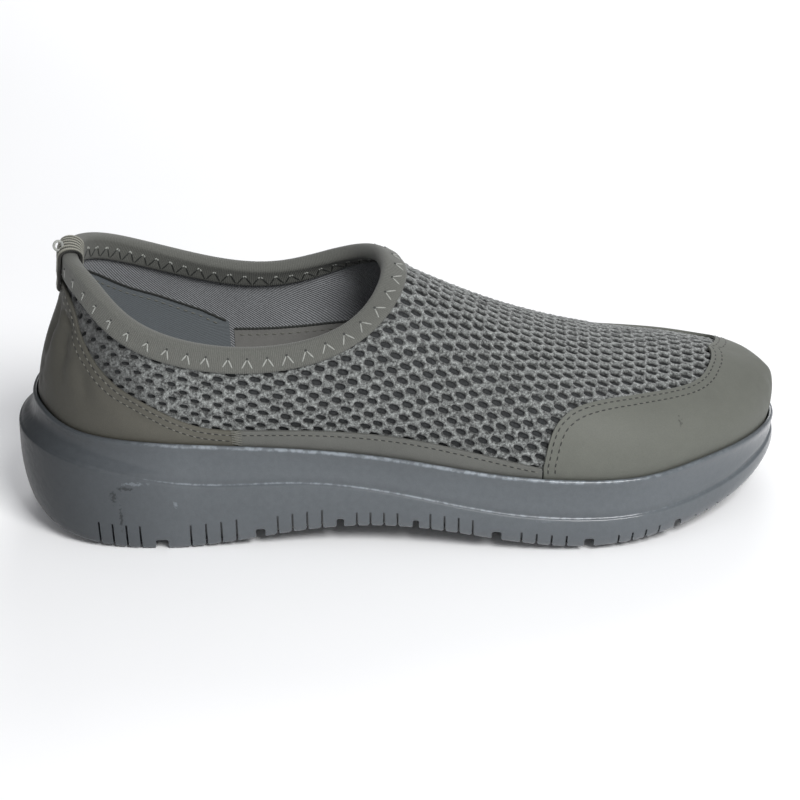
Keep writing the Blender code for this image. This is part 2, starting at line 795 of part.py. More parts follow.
def make_tab(collar):
    """Webbing pull folded over the back of the collar."""
    low = BINDING_GAP + OVERLAY + GAP
    high = low + TAB_THICKNESS
    over = low + GAP
    outer = (
        ("outer", high, TAB_OUTER_LEG),
        ("outer", high, TAB_OUTER_LEG / 2),
        ("outer", high, 0.0),
        ("middle", 0.0, -over - TAB_THICKNESS),
        ("inner", high, 0.0),
        ("inner", high, TAB_INNER_LEG / 2),
        ("inner", high, TAB_INNER_LEG),
    )
    inner = (
        ("outer", low, TAB_OUTER_LEG),
        ("outer", low, TAB_OUTER_LEG / 2),
        ("outer", low, -over),
        ("middle", 0.0, -over),
        ("inner", low, -over),
        ("inner", low, TAB_INNER_LEG / 2),
        ("inner", low, TAB_INNER_LEG),
    )
    spacing = np.linalg.norm(collar.tops[1] - collar.tops[0])
    reach = TAB_WIDTH / 2 / spacing
    places = np.linspace(-reach, reach, TAB_COLUMNS)
    return sweep("pull_tab", collar, places, outer, inner, False)


def sweep(name, collar, places, outer, inner, closed):
    """Sweep a folded strip along the collar."""
    fronts = [collar.section(place, outer) for place in places]
    backs = [collar.section(place, inner) for place in places]
    width = len(outer)
    count = len(fronts)
    faces = []
    for column in range(count if closed else count - 1):
        after = (column + 1) % count
        for row in range(width - 1):
            corners = ((column, row), (after, row), (after, row + 1), (column, row + 1))
            faces.append([place * width + level for place, level in corners])
    return shell(name, faces, np.concatenate(fronts), np.concatenate(backs))


def stand_at_origin(ribs):
    """Move every piece so that the middle of the sole's outline is the origin."""
    outline = ring(ribs, 0.0, 0.0)
    centre = (outline.min(0) + outline.max(0)) / 2
    for piece in bpy.context.scene.objects:
        piece.data.transform(Matrix.Translation(-Vector(centre)))


def main():
    for old in list(bpy.data.objects):
        bpy.data.objects.remove(old, do_unlink=True)
    ribs = solve_ribs()
    skin = Skin(ribs)
    make_sole(ribs)
    make_insole(ribs)
    make_upper(skin)
    make_overlays(skin)
    collar = Collar(skin)
    make_binding(collar, skin.throat)
    make_tab(collar)
    stand_at_origin(ribs)


main()
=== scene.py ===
# %% [markdown]
# # A slip-on walking shoe
# This lesson dresses a walking shoe: a moulded rubber sole, a knitted upper with
# holes, smooth panels sewn over toe and heel, a folded collar tape and a webbing tab.
# The solids of the shoe are a fixed frame. They are loaded first, and every new
# piece is laid exactly where its solid is.

import math

import bmesh
import bpy
import numpy as np
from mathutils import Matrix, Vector
from mathutils.bvhtree import BVHTree


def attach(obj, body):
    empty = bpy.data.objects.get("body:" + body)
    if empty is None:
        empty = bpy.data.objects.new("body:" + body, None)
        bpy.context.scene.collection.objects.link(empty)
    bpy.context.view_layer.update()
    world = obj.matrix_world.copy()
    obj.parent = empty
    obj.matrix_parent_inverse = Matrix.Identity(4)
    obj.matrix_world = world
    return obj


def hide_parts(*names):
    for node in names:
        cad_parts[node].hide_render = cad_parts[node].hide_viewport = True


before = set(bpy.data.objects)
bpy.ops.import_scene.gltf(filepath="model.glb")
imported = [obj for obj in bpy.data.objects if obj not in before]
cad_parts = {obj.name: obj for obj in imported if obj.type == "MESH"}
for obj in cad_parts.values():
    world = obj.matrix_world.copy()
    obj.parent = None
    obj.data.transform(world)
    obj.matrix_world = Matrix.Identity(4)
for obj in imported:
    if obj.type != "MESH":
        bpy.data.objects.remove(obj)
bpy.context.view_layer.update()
print("solids:", sorted(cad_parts))

# %% [markdown]
# ## Camera, floor and light
# The shoe was seen from its outer side and from well above the floor, through a long
# lens. A camera is easiest to place by an angle round the object, an angle above the
# floor and a distance, so those three are the named values.

# %% Camera
AZIMUTH = math.radians(-4.5)
ELEVATION = math.radians(27.0)
DISTANCE = 0.75
LENS = 87.2
TARGET = Vector((0.0, 0.0016, 0.050))
AIM_RIGHT = -0.0019
AIM_UP = -0.0093

back = Vector((
    math.sin(AZIMUTH) * math.cos(ELEVATION),
    -math.cos(AZIMUTH) * math.cos(ELEVATION),
    math.sin(ELEVATION),
))
right = (-back).cross(Vector((0, 0, 1))).normalized()
above = right.cross(-back)
aim = TARGET + right * AIM_RIGHT + above * AIM_UP
bpy.ops.object.select_all(action="DESELECT")
bpy.ops.object.camera_add(location=TARGET + back * DISTANCE)
camera = bpy.context.object
camera.data.lens = LENS
camera.rotation_euler = (aim - camera.location).to_track_quat("-Z", "Y").to_euler()
bpy.context.scene.camera = camera
print("camera at", [round(value, 3) for value in camera.location])

# %% [markdown]
# One big soft box stands above, in front and to the toe's side. A weak one fills the
# sole from low down, and a third lights the far rim from behind. Large area lights and
# a pale world give the soft, nearly shadowless look of a studio table.

# %% Floor and lights
FLOOR_SIZE = 6.0
FLOOR_DROP = 0.0002
FLOOR_COLOUR = (0.95, 0.953, 0.957, 1.0)
AIR_COLOUR = (0.95, 0.96, 1.0, 1.0)
AIR_STRENGTH = 0.36

bpy.context.scene.view_settings.view_transform = "Standard"


def soft_box(name, place, size, watts):
    """Add a square area light that looks at the shoe."""
    bpy.ops.object.light_add(type="AREA", location=place)
    lamp = bpy.context.object
    lamp.name = name
    lamp.data.size = size
    lamp.data.energy = watts
    lamp.rotation_euler = (TARGET - lamp.location).to_track_quat("-Z", "Y").to_euler()
    return lamp


soft_box("key_light", (0.45, -0.90, 1.10), 0.6, 19.0)
soft_box("fill_light", (0.1, -1.3, 0.35), 0.8, 1.0)
soft_box("back_light", (0.25, 1.25, 0.68), 0.8, 9.0)

world = bpy.context.scene.world or bpy.data.worlds.new("studio")
bpy.context.scene.world = world
world.use_nodes = True
world.node_tree.nodes["Background"].inputs["Color"].default_value = AIR_COLOUR
world.node_tree.nodes["Background"].inputs["Strength"].default_value = AIR_STRENGTH

bpy.ops.object.select_all(action="DESELECT")
bpy.ops.mesh.primitive_plane_add(size=FLOOR_SIZE, location=(0, 0, -FLOOR_DROP))
floor = bpy.context.object
floor.name = "floor"

# %% [markdown]
# ## Helpers for materials
# Every finish here is a small tree of nodes. A helper that adds a node and fills in
# its sockets keeps each recipe readable. Two more do the sums that return in nearly
# every finish: one mask times another, and a colour made darker or lighter.


# %% Node helpers
def add_node(tree, kind, **settings):
    """Add a node. Settings name its sockets, with _ for a space, or its properties."""
    node = tree.nodes.new(kind)
    for name, value in settings.items():
        socket = name.replace("_", " ")
        if hasattr(node, name):
            setattr(node, name, value)
        elif isinstance(value, bpy.types.NodeSocket):
            tree.links.new(value, node.inputs[socket])
        else:
            node.inputs[socket].default_value = value
    return node


def times(tree, first, second):
    """Multiply two masks. Returns the socket of the product."""
    node = add_node(tree, "ShaderNodeMath", operation="MULTIPLY")
    tree.links.new(first, node.inputs[0])
    tree.links.new(second, node.inputs[1])
    return node.outputs[0]


def toned(tree, colour, factor):
    """Make a colour darker or lighter by a factor. Returns the socket of the colour."""
    node = add_node(tree, "ShaderNodeVectorMath", operation="SCALE", Vector=colour, Scale=factor)
    return node.outputs["Vector"]


def new_material(name, roughness, **fixed):
    """Start a material and return it with its tree and its shader."""
    material = bpy.data.materials.new(name)
    material.use_nodes = True
    tree = material.node_tree
    shader = tree.nodes["Principled BSDF"]
    shader.inputs["Roughness"].default_value = roughness
    for socket, value in fixed.items():
        shader.inputs[socket.replace("_", " ")].default_value = value
    return material, tree, shader


def linear(red, green, blue):
    """Turn a colour as seen on a screen, 0 to 255, into the linear values of a node."""
    values = []
    for part in (red, green, blue):
        part /= 255
        values.append(part / 12.92 if part <= 0.04045 else ((part + 0.055) / 1.055) ** 2.4)
    return (*values, 1.0)


floor_paint, tree, shader = new_material("floor_paint", 0.85)
shader.inputs["Base Color"].default_value = FLOOR_COLOUR
floor.data.materials.append(floor_paint)
print("materials so far:", len(bpy.data.materials))

# %% [markdown]
# ## The shape of the last
# A shoe is built round a last. Here the last is a ring of ribs: each rib starts under
# the foot, climbs the wall and ends at the collar or on the ridge of the vamp. A few
# short tables hold the sizes at fourteen stations from heel to toe, and smooth curves
# join them.

# %% Sizes of the last
LENGTH = 0.297
BALL_WIDTH = 0.104
HEEL_HEIGHT = 0.107
SOLE_HEIGHT = 0.052
WALL = 0.0022
GAP = 0.00035
OVERLAY = 0.0012
FEATHER_TUCK = 0.0020
FEATHER_DEPTH = 0.012
MARGIN = 0.009
CORNER = 0.0015
TUCKED = 0.003

# Shares of LENGTH, then of BALL_WIDTH (three columns), then of SOLE_HEIGHT (three)
SOLE_COLUMNS = ("along", "lateral", "medial", "inset", "rim", "step", "tread")
SOLE_ROWS = (
    (0.000, 0.000, 0.000, 0.080, 1.000, 0.770, 0.310),
    (0.014, 0.175, 0.175, 0.076, 1.000, 0.765, 0.210),
    (0.055, 0.300, 0.300, 0.065, 0.930, 0.720, 0.080),
    (0.130, 0.370, 0.365, 0.048, 0.875, 0.615, 0.010),
    (0.240, 0.390, 0.365, 0.038, 0.835, 0.520, 0.020),
    (0.360, 0.400, 0.335, 0.034, 0.790, 0.520, 0.125),
    (0.480, 0.435, 0.325, 0.034, 0.720, 0.440, 0.170),
    (0.600, 0.490, 0.375, 0.034, 0.625, 0.320, 0.100),
    (0.700, 0.515, 0.440, 0.034, 0.580, 0.270, 0.040),
    (0.790, 0.495, 0.480, 0.034, 0.570, 0.270, 0.060),
    (0.870, 0.398, 0.475, 0.034, 0.590, 0.300, 0.115),
    (0.935, 0.265, 0.405, 0.030, 0.590, 0.350, 0.190),
    (0.980, 0.095, 0.292, 0.023, 0.560, 0.385, 0.260),
    (1.000, -0.090, 0.090, 0.021, 0.530, 0.400, 0.300),
)
# The underside and the floor of the cup, as shares of SOLE_HEIGHT
PROFILE_COLUMNS = ("along", "ground", "floor")
PROFILE_ROWS = (
    (0.00, 0.270, 0.680),
    (0.05, 0.130, 0.665),
    (0.10, 0.040, 0.640),
    (0.15, 0.000, 0.620),
    (0.27, 0.000, 0.590),
    (0.37, 0.060, 0.550),
    (0.48, 0.090, 0.500),
    (0.57, 0.040, 0.450),
    (0.63, 0.000, 0.420),
    (0.75, 0.000, 0.390),
    (0.84, 0.050, 0.390),
    (0.92, 0.140, 0.400),
    (1.00, 0.270, 0.410),
)
# Handles of each rib: shares of BALL_WIDTH (bulge, crown) and of HEEL_HEIGHT (side, drop)
RIB_COLUMNS = ("bulge", "side", "crown", "drop", "fall", "lead")
RIB_ROWS = (
    (-0.040, 0.28, 0.020, 0.28, 0.00, 0.00),
    (-0.030, 0.26, 0.020, 0.26, 0.00, 0.00),
    (-0.010, 0.22, 0.020, 0.23, 0.00, 0.00),
    (0.020, 0.19, 0.030, 0.19, 0.00, 0.00),
    (0.030, 0.17, 0.040, 0.13, 0.00, 0.00),
    (0.030, 0.17, 0.060, 0.10, 0.10, 0.10),
    (0.040, 0.20, 0.120, 0.04, 0.40, 0.60),
    (0.040, 0.24, 0.180, 0.00, 0.60, 1.10),
    (0.040, 0.22, 0.240, 0.00, 0.00, 0.70),
    (0.038, 0.19, 0.230, 0.00, 0.00, 0.40),
    (0.035, 0.17, 0.190, 0.00, 0.00, 0.25),
    (0.035, 0.15, 0.145, 0.00, 0.00, 0.15),
    (0.032, 0.155, 0.125, 0.00, 0.00, 0.05),
    (0.032, 0.155, 0.125, 0.00, 0.00, 0.00),
)
# The collar's line on both sides, as shares of LENGTH, BALL_WIDTH and HEEL_HEIGHT
COLLAR_COLUMNS = ("along", "lateral", "medial", "lateral_top", "medial_top")
COLLAR_ROWS = (
    (0.078, 0.000, 0.000, 1.000, 1.000),
    (0.083, 0.090, 0.110, 0.995, 0.990),
    (0.105, 0.190, 0.200, 0.960, 0.967),
    (0.150, 0.270, 0.270, 0.850, 0.915),
    (0.235, 0.300, 0.300, 0.750, 0.832),
    (0.345, 0.285, 0.285, 0.730, 0.800),
    (0.438, 0.220, 0.220, 0.810, 0.880),
    (0.476, 0.000, 0.000, 0.925, 0.925),
)
# The ridge of the vamp from the throat to the toe, in the same shares
RIDGE_COLUMNS = ("along", "centre", "top")
RIDGE_ROWS = (
    (0.476, 0.000, 0.925),
    (0.610, 0.000, 0.725),
    (0.720, 0.010, 0.605),
    (0.810, 0.030, 0.543),
    (0.875, 0.050, 0.517),
    (0.920, 0.065, 0.492),
    (0.942, 0.070, 0.470),
)
print("stations:", len(SOLE_ROWS))

# %% [markdown]
# The stations are joined by a smooth cubic curve round the whole shoe, so that the
# outline has no corners. Reading it twelve times between two stations makes ribs
# about two millimetres apart.

# %% Ribs of the last
SIDE_STATIONS = len(SOLE_ROWS) - 1
SECTIONS = 2 * SIDE_STATIONS
THROAT = len(COLLAR_ROWS) - 1
FINE = 12
WALL_ROWS = 40
HIDDEN_ROWS = 4


def table(columns, rows):
    """Return the columns of a table as named arrays."""
    values = np.array(rows, dtype=float)
    return {name: values[:, place] for place, name in enumerate(columns)}


def loop(lateral, medial):
    """Join heel-to-toe values of both sides into one loop around the shoe."""
    return np.concatenate([lateral, medial[-2:0:-1]])


def mix(first, second, share):
    """Return the values a share of the way from first to second."""
    return first + (second - first) * share


def spline(rows, closed, plan, steps):
    """Read a smooth curve a number of times between its rows. Returns places and slopes."""
    count = len(rows)
    following = np.roll(rows, -1, 0)
    spans = np.linalg.norm((following - rows)[:, plan], axis=1)
    chords = (following - rows) / spans[:, None]
    system = np.zeros((count, count))
    target = np.zeros_like(rows)
    for row in range(count):
        if not closed and row in (0, count - 1):
            system[row, row] = 2
            system[row, 1 if row == 0 else count - 2] = 1
            target[row] = 3 * chords[0 if row == 0 else count - 2]
            continue
        before, after = spans[row - 1], spans[row]
        system[row, row - 1] = after
        system[row, row] = 2 * (before + after)
        system[row, (row + 1) % count] = before
        target[row] = 3 * (after * chords[row - 1] + before * chords[row])
    slopes = np.linalg.solve(system, target)
    place = np.arange((count if closed else count - 1) * steps) / steps
    if not closed:
        place = np.append(place, count - 1 - 1e-9)
    span = place.astype(int)
    share = (place - span)[:, None]
    start, end = rows[span], rows[(span + 1) % count]
    width = spans[span][:, None]
    start_slope, end_slope = slopes[span], slopes[(span + 1) % count]
    square, cube = share**2, share**3
    places = (2 * cube - 3 * square + 1) * start + (3 * square - 2 * cube) * end
    places += (cube - 2 * square + share) * width * start_slope + (cube - square) * width * end_slope
    tangents = (6 * square - 6 * share) / width * (start - end)
    tangents += (3 * square - 4 * share + 1) * start_slope + (3 * square - 2 * share) * end_slope
    return places, tangents


def solve_ribs(steps):
    """Work out every rib of the shoe from the tables."""
    sole = table(SOLE_COLUMNS, SOLE_ROWS)
    shape = table(RIB_COLUMNS, RIB_ROWS)
    along = sole["along"] * LENGTH
    columns = [loop(along, along), loop(-sole["lateral"] * BALL_WIDTH, sole["medial"] * BALL_WIDTH)]
    columns.append(loop(sole["inset"], sole["inset"]) * BALL_WIDTH)
    columns += [loop(sole[name], sole[name]) * SOLE_HEIGHT for name in ("rim", "step", "tread")]
    columns += [loop(shape[name], shape[name]) * BALL_WIDTH for name in ("bulge", "crown")]
    columns += [loop(shape[name], shape[name]) * HEEL_HEIGHT for name in ("side", "drop")]
    columns += [loop(shape[name], shape[name]) for name in ("fall", "lead")]
    places, slopes = spline(np.stack(columns, 1), True, slice(0, 2), steps)
    names = ("x", "y", "inset", "rim", "step", "tread", "bulge", "crown", "side", "drop", "fall", "lead")
    found = {name: places[:, number] for number, name in enumerate(names)}
    run = slopes[:, :2] / np.linalg.norm(slopes[:, :2], axis=1)[:, None]
    found["outward"] = np.stack([run[:, 1], -run[:, 0], np.zeros(len(run))], 1)
    return found


coarse = solve_ribs(3)
ORIGIN = np.array([
    (coarse["x"].min() + coarse["x"].max()) / 2,
    (coarse["y"].min() + coarse["y"].max()) / 2,
    0.0,
])
ribs = solve_ribs(FINE)
COUNT = len(ribs["x"])
print("ribs:", COUNT, "origin moved by", ORIGIN.round(4))

# %% [markdown]
# Each rib of the upper is a curve with two handles: one pushes the wall outward above
# the sole, the other rounds it over into the vamp. The result is one fine sheet, and
# any place on it can be named by a station round the shoe and a share of the height.


# %% Rings round the shoe
def ring(source, offset, height):
    """Return a loop of points offset outward from the sole's widest line."""
    wide = np.broadcast_to(offset, source["x"].shape)[:, None]
    points = np.stack([source["x"], source["y"], np.broadcast_to(height, source["x"].shape)], 1)
    return points + source["outward"] * wide - ORIGIN


def profile_ring(source, offset, name, rise=0.0):
    """Return a loop of points that follows one height of the centre profile."""
    profile = table(PROFILE_COLUMNS, PROFILE_ROWS)
    points = ring(source, offset, 0.0)
    along = points[:, 0] + ORIGIN[0]
    points[:, 2] = np.interp(along, profile["along"] * LENGTH, profile[name] * SOLE_HEIGHT) + rise
    return points


def hidden_wall(source, depth):
    """Return how far the upper's wall lies inside the widest line, below the rim."""
    return -(source["inset"] + GAP + OVERLAY) - FEATHER_TUCK * depth / FEATHER_DEPTH


# %% [markdown]
# The top of a rib lies on the collar's line or, in front of the throat, on the ridge
# of the vamp. Both are smooth curves through a short table, as the sole's outline is.


# %% Tops of the ribs
def solve_tops():
    """Place the top of every rib on the collar or on the ridge of the vamp."""
    collar = table(COLLAR_COLUMNS, COLLAR_ROWS)
    along = collar["along"] * LENGTH
    side = loop(-collar["lateral"] * BALL_WIDTH, collar["medial"] * BALL_WIDTH)
    height = loop(collar["lateral_top"], collar["medial_top"]) * HEEL_HEIGHT
    opening, _ = spline(np.stack([loop(along, along), side, height], 1), True, slice(0, 3), FINE)
    ridge = table(RIDGE_COLUMNS, RIDGE_ROWS)
    rows = np.stack([ridge["along"] * LENGTH, ridge["centre"] * BALL_WIDTH, ridge["top"] * HEEL_HEIGHT], 1)
    line, slope = spline(rows, False, slice(0, 3), FINE)
    toe, throat = SIDE_STATIONS * FINE, THROAT * FINE
    tops = np.zeros((COUNT, 3))
    tops[: throat + 1] = opening[: throat + 1]
    tops[COUNT - throat :] = opening[len(opening) - throat :]
    tops[throat : toe + 1] = line
    tops[toe : COUNT - throat + 1] = line[::-1]
    forward = np.tile([1.0, 0.0, 0.0], (COUNT, 1))
    forward[:, 2] = -ribs["fall"]
    forward[throat : toe + 1] = slope / slope[:, :1]
    forward[toe : COUNT - throat + 1] = (slope / slope[:, :1])[::-1]
    return tops - ORIGIN, forward


# %% [markdown]
# A rib is a cubic curve: its foot is inside the sole's rim, its top on the line above,
# and two handles give the bulge of the wall and the roundness of the vamp. Under the
# rim, a few hidden rows carry the upper down and in beneath the foot.


# %% Rows of the upper
def upper_rows():
    """Return the outer face of the upper as rows of points, from the margin to the top."""
    tops, forward = solve_tops()
    feather = hidden_wall(ribs, FEATHER_DEPTH)
    foot = ring(ribs, hidden_wall(ribs, 0.0), ribs["rim"])
    rows = [
        profile_ring(ribs, feather - MARGIN, "floor", GAP),
        profile_ring(ribs, feather - CORNER, "floor", GAP),
        profile_ring(ribs, feather, "floor", GAP + CORNER),
        ring(ribs, hidden_wall(ribs, TUCKED), ribs["rim"] - TUCKED),
    ]
    upward = np.array([0.0, 0.0, 1.0])
    across = np.array([0.0, 1.0, 0.0])
    low = foot + ribs["outward"] * ribs["bulge"][:, None] + upward * ribs["side"][:, None]
    lead = ribs["outward"][:, :1] + ribs["lead"][:, None]
    spread = lead * forward + ribs["outward"][:, 1:2] * across
    high = tops + spread * ribs["crown"][:, None] - upward * ribs["drop"][:, None]
    for share in np.linspace(0.0, 1.0, WALL_ROWS + 1):
        rest = 1.0 - share
        rows.append(rest**3 * foot + 3 * rest**2 * share * low + 3 * rest * share**2 * high + share**3 * tops)
    return np.array(rows)


def shared(row, rib):
    """Return point numbers of the sheet, the same for two ribs that meet on the ridge."""
    rib = rib % COUNT
    at_top = row == HIDDEN_ROWS + WALL_ROWS
    on_ridge = at_top & (rib > SIDE_STATIONS * FINE) & (rib <= COUNT - THROAT * FINE)
    return row * COUNT + np.where(on_ridge, COUNT - rib, rib)


# %% [markdown]
# A worn or lasted upper is never quite smooth. Each soft crease here is a line between
# two places on the sheet, pressed in as a shallow trough with a lower ridge on
# either side. It is pressed before the pieces are laid, so every layer follows it.

# %% Creases
CREASE_STEPS = 24
CREASE_START = 0.08
CREASE_RIDGE = 1.4
# Station and height of both ends, then width and depth in metres
CREASES = (
    (0.85, 0.80, 0.72, 0.20, 0.0034, 0.0014),
    (1.50, 0.74, 1.75, 0.20, 0.0044, 0.0013),
    (2.20, 0.52, 2.50, 0.16, 0.0040, 0.0009),
    (0.35, 0.14, 1.05, 0.09, 0.0018, 0.0008),
    (0.30, 0.22, 0.95, 0.17, 0.0018, 0.0007),
    (0.95, 0.76, 1.90, 0.62, 0.0020, 0.0008),
    (2.90, 0.34, 3.50, 0.12, 0.0045, 0.0005),
    (4.60, 0.70, 6.20, 0.50, 0.0090, 0.0008),
    (7.10, 0.80, 8.10, 0.50, 0.0080, 0.0006),
    (8.90, 0.92, 9.10, 0.62, 0.0060, 0.0005),
    (11.75, 0.55, 12.10, 0.16, 0.0040, 0.0005),
    (12.40, 0.50, 12.55, 0.18, 0.0040, 0.0004),
    (24.60, 0.72, 24.30, 0.24, 0.0060, 0.0007),
    (20.80, 0.70, 19.70, 0.46, 0.0090, 0.0008),
    (16.90, 0.80, 16.70, 0.55, 0.0060, 0.0005),
)


def press_creases(rows):
    """Press each crease into the sheet: a trough between two lower ridges."""
    heights = np.clip((np.arange(len(rows)) - HIDDEN_ROWS) / WALL_ROWS, 0.0, 1.0)
    fade = np.clip(heights / CREASE_START, 0.0, 1.0)[:, None]
    depth_map = np.zeros(rows.shape[:2])
    for first, low, last, high, width, depth in CREASES:
        stations = np.linspace(first, last, CREASE_STEPS)
        row = HIDDEN_ROWS + (np.linspace(low, high, CREASE_STEPS) * WALL_ROWS).round().astype(int)
        line = rows[row, (stations * FINE).round().astype(int) % COUNT]
        gaps = np.linalg.norm(rows[:, :, None, :] - line, axis=-1)
        share = gaps.min(-1) / width
        ends = np.sin(np.pi * (gaps.argmin(-1) + 1) / (CREASE_STEPS + 1))
        depth_map -= depth * ends * (1.0 - CREASE_RIDGE * share**2) * np.exp(-(share**2))
    return depth_map * fade


# %% [markdown]
# The sheet is closed into faces, and the faces' normals are averaged at every corner.
# The normals say which way is outward, so a layer can be lifted off the sheet evenly.

# %% The sheet of the upper
sheet = upper_rows()
row_numbers, rib_numbers = np.meshgrid(np.arange(len(sheet) - 1), np.arange(COUNT), indexing="ij")
sheet_faces = np.stack([
    shared(row_numbers, rib_numbers),
    shared(row_numbers, rib_numbers + 1),
    shared(row_numbers + 1, rib_numbers + 1),
    shared(row_numbers + 1, rib_numbers),
], -1).reshape(-1, 4)
corners = sheet.reshape(-1, 3)[sheet_faces]
face_normals = np.cross(corners[:, 2] - corners[:, 0], corners[:, 3] - corners[:, 1])
sums = np.zeros((sheet.size // 3, 3))
for corner in range(4):
    np.add.at(sums, sheet_faces[:, corner], face_normals)
all_rows, all_ribs = np.meshgrid(np.arange(len(sheet)), np.arange(COUNT), indexing="ij")
sheet_normals = sums[shared(all_rows, all_ribs)]
sheet_normals /= np.linalg.norm(sheet_normals, axis=-1, keepdims=True)
sheet = sheet + sheet_normals * press_creases(sheet)[..., None]
sheet_tree = BVHTree.FromPolygons([Vector(point) for point in sheet.reshape(-1, 3)], sheet_faces.tolist())
print("sheet of the upper:", sheet.shape[0], "rows of", COUNT)


# %% [markdown]
# Two helpers find places on the sheet: one from a station and a height, and one from
# any point near it, which is moved onto the nearest face.


# %% Reading the sheet
def unit(vectors):
    """Scale vectors to length one."""
    return vectors / np.linalg.norm(vectors, axis=-1, keepdims=True)


def on_upper(section, height, lift=0.0):
    """Return points and normals of the upper at stations and shares of the height."""
    section, height = np.broadcast_arrays(np.asarray(section, float), np.asarray(height, float))
    column = (section % SECTIONS) * FINE
    row = np.clip(HIDDEN_ROWS + np.where(height < 0, height, height * WALL_ROWS), 0, len(sheet) - 1 - 1e-6)
    low_row, low_rib = row.astype(int), column.astype(int)
    row_share = (row - low_row)[..., None]
    rib_share = (column - low_rib)[..., None]
    first, second = low_rib % COUNT, (low_rib + 1) % COUNT
    values = []
    for grid in (sheet, sheet_normals):
        lower = mix(grid[low_row, first], grid[low_row, second], rib_share)
        upper = mix(grid[low_row + 1, first], grid[low_row + 1, second], rib_share)
        values.append(mix(lower, upper, row_share))
    normals = unit(values[1])
    return values[0] + normals * np.asarray(lift)[..., None], normals


def nearest_upper(points, lift=0.0):
    """Move points onto the upper's outer face, lifted along its normal."""
    flat = np.asarray(points, float).reshape(-1, 3)
    places = np.zeros_like(flat)
    normals = np.zeros_like(flat)
    for number, point in enumerate(flat):
        spot, _, face, _ = sheet_tree.find_nearest(Vector(point))
        near = sheet_faces[face]
        gaps = np.linalg.norm(sheet.reshape(-1, 3)[near] - np.array(spot), axis=1) + 1e-6
        weight = 1 / gaps**2
        normals[number] = unit((sheet_normals.reshape(-1, 3)[near] * weight[:, None]).sum(0))
        places[number] = spot
    places += normals * np.broadcast_to(lift, len(flat))[:, None]
    return places.reshape(np.shape(points)), normals.reshape(np.shape(points))

# %% [markdown]
# ## Tools for sewn pieces
# Sheet goods start as a flat grid, as cloth or synthetic leather comes off the roll.
# The grid is laid on the last, its seams are merged, and a Solidify modifier gives it
# its thickness. A Bevel modifier breaks the cut edges, which catch the light.


# %% Sheet tools
def only(piece):
    """Select one object alone and make it active."""
    bpy.ops.object.select_all(action="DESELECT")
    piece.select_set(True)
    bpy.context.view_layer.objects.active = piece


def grid_piece(name, points):
    """Add a grid primitive and lay its corners on a table of places."""
    rows, columns = points.shape[:2]
    bpy.ops.object.select_all(action="DESELECT")
    bpy.ops.mesh.primitive_grid_add(x_subdivisions=columns - 1, y_subdivisions=rows - 1, size=1)
    piece = bpy.context.object
    piece.name = name
    piece.data.name = name
    piece.data.vertices.foreach_set("co", points.astype(np.float32).ravel())
    piece.data.update()
    lay_out_in_metres(piece, points)
    return piece


def mesh_piece(name, points, faces):
    """Make a piece from corners and faces that were worked out before."""
    mesh = bpy.data.meshes.new(name)
    corners = np.asarray(points, float).tolist()
    mesh.from_pydata(corners, [], [[int(corner) for corner in face] for face in faces])
    piece = bpy.data.objects.new(name, mesh)
    bpy.context.scene.collection.objects.link(piece)
    return piece


def lay_out_in_metres(piece, points):
    """Give the grid's UV map the real distances along its rows and columns."""
    rows, columns = points.shape[:2]
    across = np.linalg.norm(np.diff(points, axis=1), axis=2).mean(0)
    upward = np.linalg.norm(np.diff(points, axis=0), axis=2).mean(1)
    along = np.concatenate([[0], np.cumsum(across)])
    height = np.concatenate([[0], np.cumsum(upward)])
    layer = piece.data.uv_layers[0]
    numbers = np.zeros(len(piece.data.loops), np.int32)
    piece.data.loops.foreach_get("vertex_index", numbers)
    flat = np.stack([along[numbers % columns], height[numbers // columns]], 1)
    layer.data.foreach_set("uv", flat.astype(np.float32).ravel())


def sew(piece, reach=1e-6):
    """Merge corners that lie on each other, as a seam does."""
    only(piece)
    bpy.ops.object.mode_set(mode="EDIT")
    bpy.ops.mesh.select_all(action="SELECT")
    bpy.ops.mesh.remove_doubles(threshold=reach)
    bpy.ops.object.mode_set(mode="OBJECT")


def thicken(piece, wall, outward):
    """Give a sheet its wall, on its outer or its inner side."""
    only(piece)
    bpy.ops.object.modifier_add(type="SOLIDIFY")
    modifier = piece.modifiers[-1]
    modifier.thickness = wall
    modifier.offset = 1.0 if outward else -1.0
    bpy.ops.object.modifier_apply(modifier=modifier.name)


def round_edges(piece, width, segments=2, angle=55.0):
    """Break the sharp edges of a piece."""
    only(piece)
    bpy.ops.object.modifier_add(type="BEVEL")
    modifier = piece.modifiers[-1]
    modifier.width = width
    modifier.segments = segments
    modifier.limit_method = "ANGLE"
    modifier.angle_limit = math.radians(angle)
    modifier.harden_normals = False
    bpy.ops.object.modifier_apply(modifier=modifier.name)


def smooth_once(piece):
    """Round a piece with one level of subdivision."""
    only(piece)
    bpy.ops.object.modifier_add(type="SUBSURF")
    modifier = piece.modifiers[-1]
    modifier.levels = 1
    modifier.render_levels = 1
    bpy.ops.object.modifier_apply(modifier=modifier.name)


def read(collection, name, width, kind=np.float32):
    """Read one property of a mesh's parts as an array."""
    values = np.zeros(len(collection) * width, kind)
    collection.foreach_get(name, values)
    return values.reshape(-1, width) if width > 1 else values


def paint(piece, name, values):
    """Give every corner of a piece a number that its finish can read."""
    layer = piece.data.attributes.new(name, "FLOAT", "POINT")
    layer.data.foreach_set("value", np.asarray(values, np.float32).ravel())


def dress(piece, material, node=None, angle=40.0):
    """Finish a piece: smooth shading, material, body, and the solid it stands for."""
    only(piece)
    bpy.ops.object.shade_smooth_by_angle(angle=math.radians(angle))
    if not piece.data.materials:
        piece.data.materials.append(material)
    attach(piece, "root")
    if node:
        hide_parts(node)
    print(piece.name, len(piece.data.polygons), "faces")


